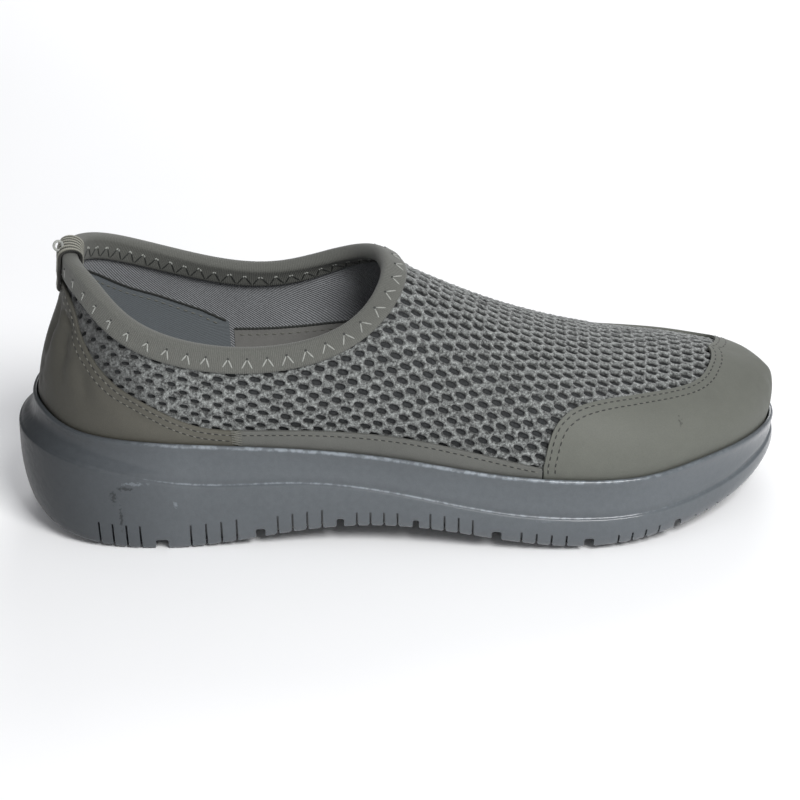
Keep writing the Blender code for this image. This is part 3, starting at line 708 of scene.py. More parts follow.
# %% [markdown]
# ## The moulded sole
# A unit sole is poured in a mould: a cup with a lip takes the upper, a hollowed band
# runs down to a step line, and below it the tread bulges and rolls under. It is drawn
# as a ring that is extruded again and again, each time to the next line of the
# mould, and a subdivision surface rounds it. The grooves are cut last.

# %% Lines of the mould
LIP = 0.0018
LIP_HEIGHT = 0.0028
BAND_HOLLOW = 0.0006
STEP_DEPTH = 0.0012
TREAD_BULGE = 0.0003
EDGE_TUCK = 0.0015
TREAD_ROLL = 0.010
CUP_STEP = 0.0018
SOLE_STEPS = 6
# Lines of the mould whose edge gets a painted highlight: the lip and the step
HIGHLIGHT_LINES = (6, 7, 14)

mould = solve_ribs(SOLE_STEPS)
rim, step, tread = (mould[name] for name in ("rim", "step", "tread"))
lip_inner = hidden_wall(mould, 0.0) + OVERLAY + 2 * GAP
lip_outer = lip_inner + LIP
cup = TUCKED + CUP_STEP
mould_lines = [
    profile_ring(mould, hidden_wall(mould, FEATHER_DEPTH) + GAP - 0.004, "floor"),
    profile_ring(mould, hidden_wall(mould, FEATHER_DEPTH) + GAP, "floor"),
    ring(mould, hidden_wall(mould, cup) + GAP, rim - cup),
    ring(mould, lip_inner, rim - TUCKED - CUP_STEP / 2),
    ring(mould, lip_inner, rim - 0.0006),
    ring(mould, lip_inner + 0.0002, rim),
    ring(mould, lip_outer - 0.0006, rim),
    ring(mould, lip_outer, rim - 0.0005),
    ring(mould, lip_outer, rim - 0.0016),
    ring(mould, lip_outer - 0.0003, rim - LIP_HEIGHT),
    ring(mould, mix(lip_outer - BAND_HOLLOW, 0.0, 0.06), mix(rim, step, 0.35)),
    ring(mould, mix(lip_outer - BAND_HOLLOW, 0.0, 0.20), mix(rim, step, 0.65)),
    ring(mould, mix(lip_outer - BAND_HOLLOW, 0.0, 0.55), step + STEP_DEPTH * 2.2),
    ring(mould, -STEP_DEPTH, step + STEP_DEPTH * 0.9),
    ring(mould, -STEP_DEPTH * 0.85, step + STEP_DEPTH * 0.45),
    ring(mould, -STEP_DEPTH * 0.15, step + STEP_DEPTH * 0.15),
    ring(mould, 0.0, step - STEP_DEPTH * 0.15),
    ring(mould, 0.0001, step - STEP_DEPTH * 0.7),
    ring(mould, TREAD_BULGE, mix(step, tread, 0.35)),
    ring(mould, TREAD_BULGE, mix(step, tread, 0.65)),
    ring(mould, -EDGE_TUCK * 0.55, mix(step, tread, 0.93)),
    ring(mould, -EDGE_TUCK, tread),
    ring(mould, -EDGE_TUCK - 0.0012, tread - 0.0004),
    profile_ring(mould, -EDGE_TUCK - TREAD_ROLL * 0.8, "ground", 0.0003),
    profile_ring(mould, -EDGE_TUCK - TREAD_ROLL, "ground"),
]
print("lines of the mould:", len(mould_lines), "of", len(rim), "points")

# %% [markdown]
# The ring starts as a circle primitive laid on the first line, and each extrusion is
# laid on the next. The two ends are closed with strips from side to side, which keep
# the tread flat across. The edges of the lip and the step get a mark for their painted
# highlight.


# %% Extruding the sole
def extrude_rings(name, lines):
    """Start from a circle and extrude it from line to line."""
    count = len(lines[0])
    bpy.ops.object.select_all(action="DESELECT")
    bpy.ops.mesh.primitive_circle_add(vertices=count, radius=0.05, fill_type="NOTHING")
    piece = bpy.context.object
    piece.name = name
    piece.data.name = name
    piece.data.vertices.foreach_set("co", lines[0].astype(np.float32).ravel())
    for number, line in enumerate(lines[1:], 1):
        bpy.ops.object.mode_set(mode="EDIT")
        bpy.ops.mesh.select_mode(type="VERT")
        if number == 1:
            bpy.ops.mesh.select_all(action="SELECT")
        bpy.ops.mesh.extrude_region_move()
        bpy.ops.object.mode_set(mode="OBJECT")
        places = np.zeros(len(piece.data.vertices) * 3, np.float32)
        piece.data.vertices.foreach_get("co", places)
        places[-3 * count :] = line.astype(np.float32).ravel()
        piece.data.vertices.foreach_set("co", places)
    piece.data.update()
    return piece


def close_across(piece, first, count):
    """Close a ring of the piece with strips from the lateral to the medial side."""
    mesh = bmesh.new()
    mesh.from_mesh(piece.data)
    mesh.verts.ensure_lookup_table()
    for place in range(count // 2):
        numbers = [place, place + 1, count - place - 1, -place % count]
        kept = [number for at, number in enumerate(numbers) if number != numbers[at - 1]]
        mesh.faces.new([mesh.verts[first + number] for number in kept])
    bmesh.ops.recalc_face_normals(mesh, faces=mesh.faces)
    mesh.to_mesh(piece.data)
    mesh.free()


sole = extrude_rings("outsole", mould_lines)
points_round = len(rim)
close_across(sole, 0, points_round)
close_across(sole, len(sole.data.vertices) - points_round, points_round)
edge_highlight = np.zeros(len(sole.data.vertices))
for line in HIGHLIGHT_LINES:
    edge_highlight[line * points_round : (line + 1) * points_round] = 1.0
paint(sole, "edge", edge_highlight)
smooth_once(sole)
print("sole before cutting:", len(sole.data.polygons), "faces")

# %% [markdown]
# The tread is split by seven grooves into blocks. Between them run fine slits in fours,
# each ending in a small V at the ground. All cutters are drawn as prisms, joined into
# one mesh and taken away with a Boolean modifier.

# %% Places of the grooves
NOTCH_RISE = 0.0042
NOTCH_FLARE = 0.0010
NOTCH_ROWS = (
    (0.181, 0.016),
    (0.306, 0.012),
    (0.407, 0.0095),
    (0.502, 0.008),
    (0.603, 0.012),
    (0.720, 0.0125),
    (0.838, 0.0095),
)
# First and last slit of a block, shares of LENGTH, how many, and their height in metres
SLIT_ROWS = (
    (0.102, 0.154, 4, 0.0105),
    (0.218, 0.276, 4, 0.0105),
    (0.328, 0.384, 4, 0.0090),
    (0.428, 0.479, 4, 0.0068),
    (0.520, 0.573, 4, 0.0078),
    (0.634, 0.691, 4, 0.0056),
    (0.758, 0.812, 4, 0.0046),
    (0.865, 0.913, 4, 0.0022),
    (0.934, 0.950, 2, 0.0014),
)
SLIT_HALF = 0.00038
SLIT_TOP_DEPTH = 0.0012
SLIT_LOW_DEPTH = 0.0060
SLIT_BELOW = 0.002
SLIT_CLEAR = 0.004
VEE_HALF = 0.0012
VEE_DEPTH = 0.0013
VEE_CLEAR = 0.006
# Side and inset of the stops of a V: it runs in under the tread from both sides
VEE_STOPS = (
    (False, -VEE_CLEAR),
    (False, EDGE_TUCK),
    (False, TREAD_ROLL),
    (True, TREAD_ROLL),
    (True, EDGE_TUCK),
    (True, -VEE_CLEAR),
)


def side_ribs(medial):
    """Return the numbers of one side's ribs, from heel to toe."""
    half = COUNT // 2 + 1
    return np.arange(COUNT, half - 2, -1) % COUNT if medial else np.arange(half)


def at_side(along, name, medial=False):
    """Read a value of the ribs where one side passes a place along the shoe."""
    picked = side_ribs(medial)
    return np.interp(along * LENGTH, ribs["x"][picked], ribs[name][picked])


def ground_at(along):
    """Read the height of the underside at a place along the shoe."""
    profile = table(PROFILE_COLUMNS, PROFILE_ROWS)
    return np.interp(along, profile["along"], profile["ground"]) * SOLE_HEIGHT


def prism(points, faces, outlines):
    """Add a closed prism through a row of equally long outlines."""
    start = len(points)
    corners = len(outlines[0])
    for outline in outlines:
        points.extend(outline)
    for level in range(len(outlines) - 1):
        base = start + level * corners
        for corner in range(corners):
            after = (corner + 1) % corners
            above = base + corners
            faces.append((base + corner, base + after, above + after, above + corner))
    faces.append(tuple(range(start + corners - 1, start - 1, -1)))
    end = start + (len(outlines) - 1) * corners
    faces.append(tuple(range(end, end + corners)))


def cut_with(piece, name, points, faces):
    """Take a mesh of prisms away from a piece."""
    cutter = mesh_piece(name, points, faces)
    only(cutter)
    bpy.ops.object.mode_set(mode="EDIT")
    bpy.ops.mesh.select_all(action="SELECT")
    bpy.ops.mesh.normals_make_consistent(inside=False)
    bpy.ops.object.mode_set(mode="OBJECT")
    only(piece)
    bpy.ops.object.modifier_add(type="BOOLEAN")
    modifier = piece.modifiers[-1]
    modifier.operation = "DIFFERENCE"
    modifier.solver = "EXACT"
    modifier.object = cutter
    bpy.ops.object.modifier_apply(modifier=modifier.name)
    bpy.data.objects.remove(cutter)


# %% [markdown]
# A groove of a moulded tread is straight at the top and flares where it meets the
# ground. Its outline is drawn once and run right across the sole, and so is each V.


# %% Cutting the grooves
def notch_outline(along, width, side, top):
    """Outline of a groove: straight at the top, flared where it meets the ground."""
    half = width * LENGTH / 2
    middle = along * LENGTH - ORIGIN[0]
    low = top - NOTCH_RISE - 0.0005
    shape = ((-half, top - 0.0006), (-half + 0.0006, top), (half - 0.0006, top), (half, top - 0.0006))
    shape += ((half, low + 0.0016), (half + NOTCH_FLARE * 2, low - 0.004), (half + NOTCH_FLARE * 2, -0.01))
    shape += ((-half - NOTCH_FLARE * 2, -0.01), (-half - NOTCH_FLARE * 2, low - 0.004), (-half, low + 0.0016))
    return [(middle + x, side, z) for x, z in shape]


slit_places = [
    (along, height)
    for start, end, count, height in SLIT_ROWS
    for along in np.linspace(start, end, count)
]
points, faces = [], []
for along, width in NOTCH_ROWS:
    top = float(at_side(along, "tread")) + NOTCH_RISE
    prism(points, faces, [notch_outline(along, width, side, top) for side in (-BALL_WIDTH, BALL_WIDTH)])
for along, _ in slit_places:
    middle = along * LENGTH - ORIGIN[0]
    outlines = []
    for medial, inset in VEE_STOPS:
        side = float(at_side(along, "y", medial)) - ORIGIN[1]
        side += inset if not medial else -inset
        low = float(at_side(along, "tread", medial)) if inset < TREAD_ROLL else float(ground_at(along))
        shape = ((-VEE_HALF * 2, low - VEE_DEPTH), (0.0, low + VEE_DEPTH), (VEE_HALF * 2, low - VEE_DEPTH))
        outlines.append([(middle + x, side, z) for x, z in shape])
    prism(points, faces, outlines)
cut_with(sole, "groove_cutter", points, faces)
print("sole with grooves:", len(sole.data.polygons), "faces")

# %% [markdown]
# The slits stand upright in the wall of the tread, deep at the ground and shallow at
# the top. After the cut, corners inside the grooves and under the sole get a mark, so
# that the finish can paint shade there, where little light gets in.

# %% Cutting the slits
# Reach of the painted shade inside the grooves and under the sole
UNDER_START = 0.0006
UNDER_FADE = 0.0018
UNDER_TOP = 0.025

points, faces = [], []
for medial in (False, True):
    for along, height in slit_places:
        low = float(at_side(along, "tread", medial))
        centre = np.array([along * LENGTH, float(at_side(along, "y", medial)), 0.0]) - ORIGIN
        picked = side_ribs(medial)
        outward = unit(np.array([
            np.interp(along * LENGTH, ribs["x"][picked], ribs["outward"][picked, axis]) for axis in range(3)
        ]))
        run = np.array([outward[1], -outward[0], 0.0])
        outlines = []
        for reach_top, reach_low in ((-SLIT_TOP_DEPTH, -SLIT_LOW_DEPTH), (SLIT_CLEAR, SLIT_CLEAR)):
            foot, head = low - SLIT_BELOW, low + height
            shape = ((-1, foot, reach_low), (1, foot, reach_low), (1, head, reach_top), (-1, head, reach_top))
            outlines.append([
                centre + run * side * SLIT_HALF + outward * reach + np.array([0, 0, z])
                for side, z, reach in shape
            ])
        prism(points, faces, outlines)
cut_with(sole, "slit_cutter", points, faces)
sew(sole, 4e-6)
sole_points = read(sole.data.vertices, "co", 3)
along = (sole_points[:, 0] + ORIGIN[0]) / LENGTH
outer_y = at_side(along, "y") - ORIGIN[1]
inner_y = at_side(along, "y", True) - ORIGIN[1]
inward = np.minimum(sole_points[:, 1] - outer_y, inner_y - sole_points[:, 1])
under = np.clip((inward - EDGE_TUCK - UNDER_START) / UNDER_FADE, 0.0, 1.0) * (sole_points[:, 2] < UNDER_TOP)
paint(sole, "under", under)
print("sole with slits:", len(sole.data.polygons), "faces")

# %% [markdown]
# ## Panels over toe and heel
# Toe cap, heel counter and the low bands between them are cut from smooth synthetic
# leather and sewn onto the knit. Each is a grid between the sole's rim and its own
# edge line, so the cut edge follows one smooth curve.

# %% Edge lines of the panels
# Stations from the heel, and the edge's height as a share of the wall
COUNTER_EDGE = (
    (0.0, 0.85),
    (1.2, 0.85),
    (1.7, 0.77),
    (2.3, 0.60),
    (3.0, 0.44),
    (3.4, 0.32),
    (3.7, 0.21),
    (4.0, 0.14),
    (4.4, 0.12),
)
BAND_EDGE = (
    (4.3, 0.12),
    (5.3, 0.15),
    (6.3, 0.12),
    (7.0, 0.08),
    (7.6, 0.05),
)
CAP_EDGE = (
    (7.6, 0.06),
    (7.7, 0.19),
    (8.0, 0.36),
    (8.4, 0.45),
    (9.2, 0.53),
    (10.0, 0.56),
    (10.4, 0.60),
    (11.0, 0.77),
    (11.3, 0.87),
    (11.6, 1.00),
)
MEDIAL_CAP_EDGE = (
    (7.6, 0.06),
    (7.7, 0.17),
    (8.0, 0.31),
    (8.4, 0.37),
    (9.2, 0.41),
    (10.0, 0.41),
    (10.6, 0.42),
    (11.0, 0.47),
    (11.3, 0.60),
    (11.6, 1.00),
)
COUNTER_END = 4.33
CAP_START = 7.60
CAP_TURN = 8.3
PANEL_SLIT = 0.017
PANEL_ROWS = 30
PANEL_BEVEL = 0.0004


def edge_height(edges, section):
    """Read a panel's lateral or medial edge line at stations round the shoe."""
    section = np.asarray(section, float) % SECTIONS
    heights = []
    for edge in edges:
        smooth, _ = spline(np.array(edge) * (1.0, 3.0), False, slice(0, 2), 12)
        from_heel = np.minimum(section, SECTIONS - section)
        heights.append(np.clip(np.interp(from_heel, smooth[:, 0], smooth[:, 1] / 3.0), 0.0, 1.0))
    return np.where(section > SIDE_STATIONS, heights[1], heights[0])


# %% [markdown]
# A panel is a grid from under the rim to its edge line, lifted a hair off the knit and
# thickened outwards. The bands leave a narrow slit where they meet cap and counter.


# %% Laying the panels
def panel(name, edges, sections):
    """Lay a panel on the knit, from inside the sole's rim up to its edge line."""
    top = edge_height(edges, sections)
    shares = np.concatenate([[-1.0, -0.5], np.linspace(0.0, 1.0, PANEL_ROWS)])
    heights = np.where(shares[:, None] > 0, shares[:, None] * top, shares[:, None])
    points, _ = on_upper(np.broadcast_to(sections, heights.shape), heights, GAP)
    piece = grid_piece(name, points)
    sew(piece)
    thicken(piece, OVERLAY, outward=True)
    round_edges(piece, PANEL_BEVEL)
    return piece


cap_sections = np.concatenate([
    np.linspace(CAP_START, CAP_TURN, 26, endpoint=False),
    np.linspace(CAP_TURN, SECTIONS - CAP_TURN, 140, endpoint=False),
    np.linspace(SECTIONS - CAP_TURN, SECTIONS - CAP_START, 27),
])
CAP_EDGES = (CAP_EDGE, MEDIAL_CAP_EDGE)
COUNTER_EDGES = (COUNTER_EDGE, COUNTER_EDGE)
BAND_EDGES = (BAND_EDGE, BAND_EDGE)
toe_cap = panel("toe_cap_panel", CAP_EDGES, cap_sections)
heel_counter = panel("heel_counter_panel", COUNTER_EDGES, np.linspace(-COUNTER_END, COUNTER_END, 131))
band_sections = np.linspace(COUNTER_END + PANEL_SLIT, CAP_START - PANEL_SLIT, 60)
medial_band_sections = SECTIONS - band_sections[::-1]
band_lateral = panel("side_band_outer", BAND_EDGES, band_sections)
band_medial = panel("side_band_inner", BAND_EDGES, medial_band_sections)
print("panels:", [piece.name for piece in (toe_cap, heel_counter, band_lateral, band_medial)])

# %% [markdown]
# ## Inside the shoe
# Behind the knit lies a dark foam backing, which shows through the holes, and inside
# it a twill lining that turns in under the foot. Both are thin shells of their own.

# %% Backing and lining
BACKING_LIFT = -0.0013
BACKING = 0.00025
LINING_LIFT = -0.0016
LINING = 0.0006

around = np.linspace(0.0, SECTIONS, COUNT + 1)
wall_heights = np.linspace(0.0, 1.0, 41)
points, _ = on_upper(around[None, :], np.concatenate([[-1.0, -0.5], wall_heights])[:, None], BACKING_LIFT)
backing = grid_piece("foam_backing", points)
sew(backing)
thicken(backing, BACKING, outward=False)

lining_heights = np.concatenate([[-4.0, -3.0, -2.5, -2.0, -1.0, -0.5], wall_heights])
points, _ = on_upper(around[None, :], lining_heights[:, None], LINING_LIFT)
lining = grid_piece("lining", points)
sew(lining)
thicken(lining, LINING, outward=False)
print("lining:", len(lining.data.polygons), "faces")

# %% [markdown]
# The heel is lined twice. A lower panel is sewn over the twill round the heel, and a
# smooth band carries on from it along the foot. Their top edges form the dark seam
# line that is seen on the far wall.

# %% Inner panels
INNER_PANEL = 0.0003
INNER_PANEL_GAP = 0.00002
HEEL_LINING_END = 4.3
FOOT_LINING_ENDS = (4.35, 6.6)
INNER_SEAM = ((0.0, 0.84), (1.4, 0.82), (2.1, 0.76), (3.0, 0.64), (3.4, 0.58), (4.0, 0.46), (4.3, 0.36))
INNER_BAND = ((4.35, 0.30), (5.0, 0.33), (5.4, 0.34), (5.9, 0.34), (6.6, 0.30))


def inner_line(edge, sections):
    """Read the top line of an inner panel, the same on both sides of the shoe."""
    sections = np.asarray(sections, float) % SECTIONS
    return np.interp(np.minimum(sections, SECTIONS - sections), *np.array(edge).T)


def inner_panel(name, edge, sections):
    """Lay a thin panel on the inside of the lining."""
    top = inner_line(edge, sections)
    shares = np.concatenate([[-2.5, -2.0, -1.0, -0.5], np.linspace(0.0, 1.0, 14)])
    heights = np.where(shares[:, None] > 0, shares[:, None] * top, shares[:, None])
    points, _ = on_upper(np.broadcast_to(sections, heights.shape), heights, -WALL - INNER_PANEL_GAP)
    piece = grid_piece(name, points)
    sew(piece)
    thicken(piece, INNER_PANEL, outward=False)
    return piece


heel_lining = inner_panel("heel_lining", INNER_SEAM, np.linspace(-HEEL_LINING_END, HEEL_LINING_END, 131))
band_linings = [
    inner_panel("foot_lining_outer", INNER_BAND, np.linspace(*FOOT_LINING_ENDS, 44)),
    inner_panel("foot_lining_inner", INNER_BAND, SECTIONS - np.linspace(*FOOT_LINING_ENDS[::-1], 44)),
]
print("inner panels:", 1 + len(band_linings))

# %% [markdown]
# The insole is a soft sock that lies on the turned-in lining. It is extruded from its
# outline like the sole, thin, with a rounded edge that rises a little against the wall.

# %% Insole
INSOLE = 0.004
INSOLE_CLEAR = 0.0045

sock = solve_ribs(4)
sock_line = hidden_wall(sock, FEATHER_DEPTH) - INSOLE_CLEAR
sock_base = 2 * GAP + WALL
sock_lines = [
    profile_ring(sock, sock_line - 0.006, "floor", sock_base),
    profile_ring(sock, sock_line - 0.0008, "floor", sock_base),
    profile_ring(sock, sock_line, "floor", sock_base + 0.0007),
    profile_ring(sock, sock_line, "floor", sock_base + INSOLE - 0.0012),
    profile_ring(sock, sock_line - 0.0007, "floor", sock_base + INSOLE - 0.0003),
    profile_ring(sock, sock_line - 0.0020, "floor", sock_base + INSOLE),
    profile_ring(sock, sock_line - 0.0060, "floor", sock_base + INSOLE - 0.0005),
    profile_ring(sock, sock_line - 0.0140, "floor", sock_base + INSOLE - 0.0009),
]
insole = extrude_rings("insole_sock", sock_lines)
close_across(insole, 0, len(sock["x"]))
close_across(insole, len(insole.data.vertices) - len(sock["x"]), len(sock["x"]))
smooth_once(insole)
print("insole:", len(insole.data.polygons), "faces")

# %% [markdown]
# ## The collar tape
# A soft knitted tape is folded over the raw edge of the upper and held by a zigzag
# seam. Its section is drawn once, as a row of depths below the edge and lifts off the
# wall, and swept round the collar.

# %% The line of the collar
COLLAR_STEPS = 18

places = np.linspace(0.0, THROAT, THROAT * COLLAR_STEPS + 1)
collar_sections = np.concatenate([places[:-1], SECTIONS - places[::-1][:-1]])
collar_tops, collar_out = on_upper(collar_sections, 1.0)
collar_run = unit(np.roll(collar_tops, -1, 0) - np.roll(collar_tops, 1, 0))
collar_down = unit(np.cross(collar_run, collar_out))
collar_down *= -np.sign(collar_down[0, 2])
collar_out = unit(np.cross(collar_down, collar_run))
collar_out *= np.sign((collar_out * on_upper(collar_sections, 1.0)[1]).sum(1))[:, None]
collar_spans = np.linalg.norm(np.roll(collar_tops, -1, 0) - collar_tops, axis=1)
collar_length = np.concatenate([[0], np.cumsum(collar_spans)])
print("collar is", round(collar_length[-1] * 1000), "mm round")


# %% [markdown]
# The section of a folded strip is a short list of places: on the outer wall, over the
# top in a half circle, and down the inner wall. Laid at many distances along the
# collar, it becomes the rows of a grid.


# %% Sweeping round the collar
def around_collar(values, distance):
    """Read a collar value at distances along the edge, from the back of the heel."""
    distance = np.asarray(distance) % collar_length[-1]
    closed = np.concatenate([values, values[:1]])
    return np.stack([np.interp(distance, collar_length, closed[:, axis]) for axis in range(3)], -1)


def fold(distance, profile):
    """Lay a section of (side, lift, depth) over the edge at many distances."""
    top = around_collar(collar_tops, distance)
    outward = unit(around_collar(collar_out, distance))
    down = unit(around_collar(collar_down, distance))
    rows = []
    for side, lift, depth in profile:
        if side == "top":
            rows.append(top - outward * (WALL / 2 + lift) - down * depth)
        elif side == "outer":
            rows.append(nearest_upper(top + down * depth, lift)[0])
        else:
            rows.append(nearest_upper(top - outward * WALL + down * depth, -WALL - lift)[0])
    return np.array(rows)


def folded_profile(near, thickness, outer_leg, inner_leg, press):
    """Section of a folded strip: two legs with rounded ends and a round back."""
    far = near + thickness
    ends = ((0.0, press), (0.0002, 0.55), (0.0006, 0.85), (0.0013, 1.0))
    profile = [("outer", near + thickness * share, outer_leg - inset) for inset, share in ends]
    profile += [("outer", far, depth) for depth in np.linspace(outer_leg - 0.0025, 0.0006, 6)]
    for turn in np.linspace(0.0, math.pi, 11):
        profile.append(("top", -math.cos(turn) * (WALL / 2 + far), math.sin(turn) * far))
    profile += [("inner", far, depth) for depth in np.linspace(0.0006, inner_leg - 0.0025, 6)]
    profile += [("inner", near + thickness * share, inner_leg - inset) for inset, share in reversed(ends)]
    return profile


BINDING_LEG = 0.008
BINDING_GAP = 0.0006
TAPE_WALL = 0.0005

tape_distance = np.linspace(0.0, collar_length[-1], 281)
tape_profile = folded_profile(BINDING_GAP, OVERLAY, BINDING_LEG, BINDING_LEG, 0.15)
binding = grid_piece("collar_tape", fold(tape_distance, tape_profile))
sew(binding, 2e-6)
thicken(binding, TAPE_WALL, outward=False)
print("tape rows:", len(tape_profile))

# %% [markdown]
# The pull tab is a short piece of ribbed webbing, folded over the back of the collar
# tape. Six cords run along it, so the strip is swept in the same way and its lift
# rises and falls across the width. Below the tape, its outer leg is pressed in a
# little, so that it lies against the counter.

# %% Webbing tab
TAB_WIDTH = 0.015
TAB_THICKNESS = 0.0015
TAB_OUTER_LEG = 0.014
TAB_INNER_LEG = 0.010
TAB_CORDS = 6
TAB_RELIEF = 0.0004
TAB_WALL = 0.0011
TAB_PRESS = 0.0004
TAB_PRESS_START = BINDING_LEG + 0.0006
CORD_ROUNDNESS = 0.6

tab_base = BINDING_GAP + OVERLAY + GAP
tab_across = np.linspace(-TAB_WIDTH / 2, TAB_WIDTH / 2, TAB_CORDS * 8 + 1)
tab_profile = folded_profile(tab_base, TAB_THICKNESS - TAB_RELIEF, TAB_OUTER_LEG, TAB_INNER_LEG, 0.3)
tab_profile = [
    (side, lift - TAB_PRESS if side == "outer" and depth > TAB_PRESS_START else lift, depth)
    for side, lift, depth in tab_profile
]
points = fold(tab_across, tab_profile)
cords = np.abs(np.sin(np.linspace(0.0, math.pi * TAB_CORDS, len(tab_across)))) ** CORD_ROUNDNESS
tab_normals = unit(np.cross(np.gradient(points, axis=1), np.gradient(points, axis=0)))
tab_normals *= np.sign((tab_normals[3, len(tab_across) // 2] * (-1, 0, 0)).sum())
points = points + tab_normals * (cords * TAB_RELIEF)[None, :, None]
pull_tab = grid_piece("webbing_tab", points)
paint(pull_tab, "cord", np.broadcast_to(cords, points.shape[:2]))
thicken(pull_tab, TAB_WALL, outward=False)
print("tab corners:", len(pull_tab.data.vertices))

# %% [markdown]
# ## The knit
# The upper is knitted with rows of long holes. A knitter works flat, so the upper is
# unwrapped into a flat pattern first, with the least stretch. A honeycomb of cells,
# each with one hole, is drawn on the pattern and carried back onto the last. The
# upper is cut a little askew from the knit, so the rows run down towards the toe.

# %% Flat pattern of the upper
PATTERN_STEPS = 8
PATTERN_ROWS = 25
CUT_ANGLE = math.radians(12.0)

pattern_sections = np.linspace(0.0, SECTIONS, SECTIONS * PATTERN_STEPS + 1)
pattern_heights = np.concatenate([[-1.0], np.linspace(0.0, 1.0, PATTERN_ROWS)])
points, _ = on_upper(pattern_sections[None, :], pattern_heights[:, None])
pattern = grid_piece("pattern", points)
sew(pattern)
bpy.ops.object.mode_set(mode="EDIT")
bpy.ops.mesh.select_all(action="SELECT")
bpy.ops.uv.unwrap(method="MINIMUM_STRETCH", margin=0.0)
bpy.ops.object.mode_set(mode="OBJECT")
pattern.data.calc_loop_triangles()
solid_places = read(pattern.data.vertices, "co", 3).astype(float)
solid_normals = read(pattern.data.vertices, "normal", 3).astype(float)
triangles = read(pattern.data.loop_triangles, "vertices", 3, np.int32)
flat_places = np.zeros((len(solid_places), 2))
loop_corners = read(pattern.data.loops, "vertex_index", 1, np.int32)
flat_places[loop_corners] = read(pattern.data.uv_layers[0].data, "uv", 2)


def triangle_areas(places):
    """Return the areas of the pattern's triangles."""
    first = places[triangles[:, 1]] - places[triangles[:, 0]]
    second = places[triangles[:, 2]] - places[triangles[:, 0]]
    if places.shape[1] == 2:
        return np.abs(first[:, 0] * second[:, 1] - first[:, 1] * second[:, 0]) / 2
    return np.linalg.norm(np.cross(first, second), axis=1) / 2


def pattern_corner(section, height):
    """Return the number of the pattern's corner nearest to a place on the upper."""
    place, _ = on_upper(section, height)
    return int(np.linalg.norm(solid_places - place, axis=1).argmin())


# %% [markdown]
# The flat pattern comes out turned and scaled at will. It is scaled to the area of the
# real sheet, its throat becomes the middle and its grain is laid towards the toe.

# %% Grain of the knit
throat_corner = pattern_corner(THROAT, 1.0)
toe_corner = pattern_corner(SIDE_STATIONS, 1.0)
side_corner = pattern_corner(THROAT, 0.3)
scale = math.sqrt(triangle_areas(solid_places).sum() / triangle_areas(flat_places).sum())
flat_places = (flat_places - flat_places[throat_corner]) * scale
grain = unit(flat_places[toe_corner])
across = np.array([-grain[1], grain[0]])
across *= -np.sign(flat_places[side_corner] @ across)
bias, square = math.cos(CUT_ANGLE), math.sin(CUT_ANGLE)
grain, across = grain * bias - across * square, grain * square + across * bias
flat_places = np.stack([flat_places @ grain, flat_places @ across], 1)
bpy.data.objects.remove(pattern)
flat_tree = BVHTree.FromPolygons([Vector((*place, 0.0)) for place in flat_places], triangles.tolist())
print("flat pattern is", flat_places.min(0).round(3), "to", flat_places.max(0).round(3))


def carry_back(flat):
    """Carry flat places onto the last. Returns places, normals and how far each was outside."""
    places = np.zeros((len(flat), 3))
    normals = np.zeros((len(flat), 3))
    outside = np.zeros(len(flat))
    for number, (u, v) in enumerate(flat):
        spot, _, face, gap = flat_tree.find_nearest(Vector((u, v, 0.0)))
        a, b, c = flat_places[triangles[face]]
        size = (b[0] - a[0]) * (c[1] - a[1]) - (c[0] - a[0]) * (b[1] - a[1])
        second = ((spot[0] - a[0]) * (c[1] - a[1]) - (c[0] - a[0]) * (spot[1] - a[1])) / size
        third = ((b[0] - a[0]) * (spot[1] - a[1]) - (spot[0] - a[0]) * (b[1] - a[1])) / size
        shares = np.array([1.0 - second - third, second, third])
        places[number] = shares @ solid_places[triangles[face]]
        normals[number] = shares @ solid_normals[triangles[face]]
        outside[number] = gap
    return places, unit(normals), outside

# %% [markdown]
# One cell is a honeycomb tile: its rim is the thick yarn between the holes, raised at
# the knots, and its middle falls into a long hole. The rings of the cell are joined
# from the rim down into the hole and back along the underside, so the knit is solid.

# %% One cell of the knit
COLUMN = 0.00445
ROW = 0.0051
HOLE_LENGTH = 0.0041
HOLE_WIDTH = 0.0021
HOLE_STRETCH = 1.15
HOLE_SQUARENESS = 0.10
CENTRE_REACH = 1e-5
RIM_REACH = 2e-4
KNOT_LIFT = 0.00034
YARN_LIFT = 0.00004
SHOULDER_LIFT = 0.00002
HOLE_LIFT = -0.00042
UNDER_LIFT = -0.00100

reach_far = (COLUMN**2 + (ROW / 2) ** 2) / (2 * COLUMN)
reach_near = COLUMN - reach_far
knots = np.array([
    (reach_far, 0.0),
    (reach_near, ROW / 2),
    (-reach_near, ROW / 2),
    (-reach_far, 0.0),
    (-reach_near, -ROW / 2),
    (reach_near, -ROW / 2),
])
middles = (knots + np.roll(knots, -1, 0)) / 2
cell_rim = np.stack([knots, middles], 1).reshape(-1, 2)
turn = np.arctan2(cell_rim[:, 1] * HOLE_STRETCH, cell_rim[:, 0])
hole = np.stack([np.cos(turn) * HOLE_LENGTH / 2, np.sin(turn) * HOLE_WIDTH / 2], 1)
hole *= (1.0 + HOLE_SQUARENESS * np.abs(np.sin(2 * turn)))[:, None]
CORNERS = len(cell_rim)

low, high = flat_places.min(0), flat_places.max(0)
columns = np.arange(math.floor(low[0] / COLUMN), math.ceil(high[0] / COLUMN) + 1)
rows = np.arange(math.floor(low[1] / ROW), math.ceil(high[1] / ROW) + 1)
centres = np.array([(c * COLUMN, (r + 0.5 * (c % 2)) * ROW) for c in columns for r in rows])
_, _, outside = carry_back(centres)
centres = centres[outside < CENTRE_REACH]
rims = centres[:, None, :] + cell_rim
_, _, outside = carry_back(rims.reshape(-1, 2))
whole = (outside.reshape(len(centres), CORNERS) < RIM_REACH).all(1)
centres, rims = centres[whole], rims[whole]
print("holes in the knit:", len(centres))

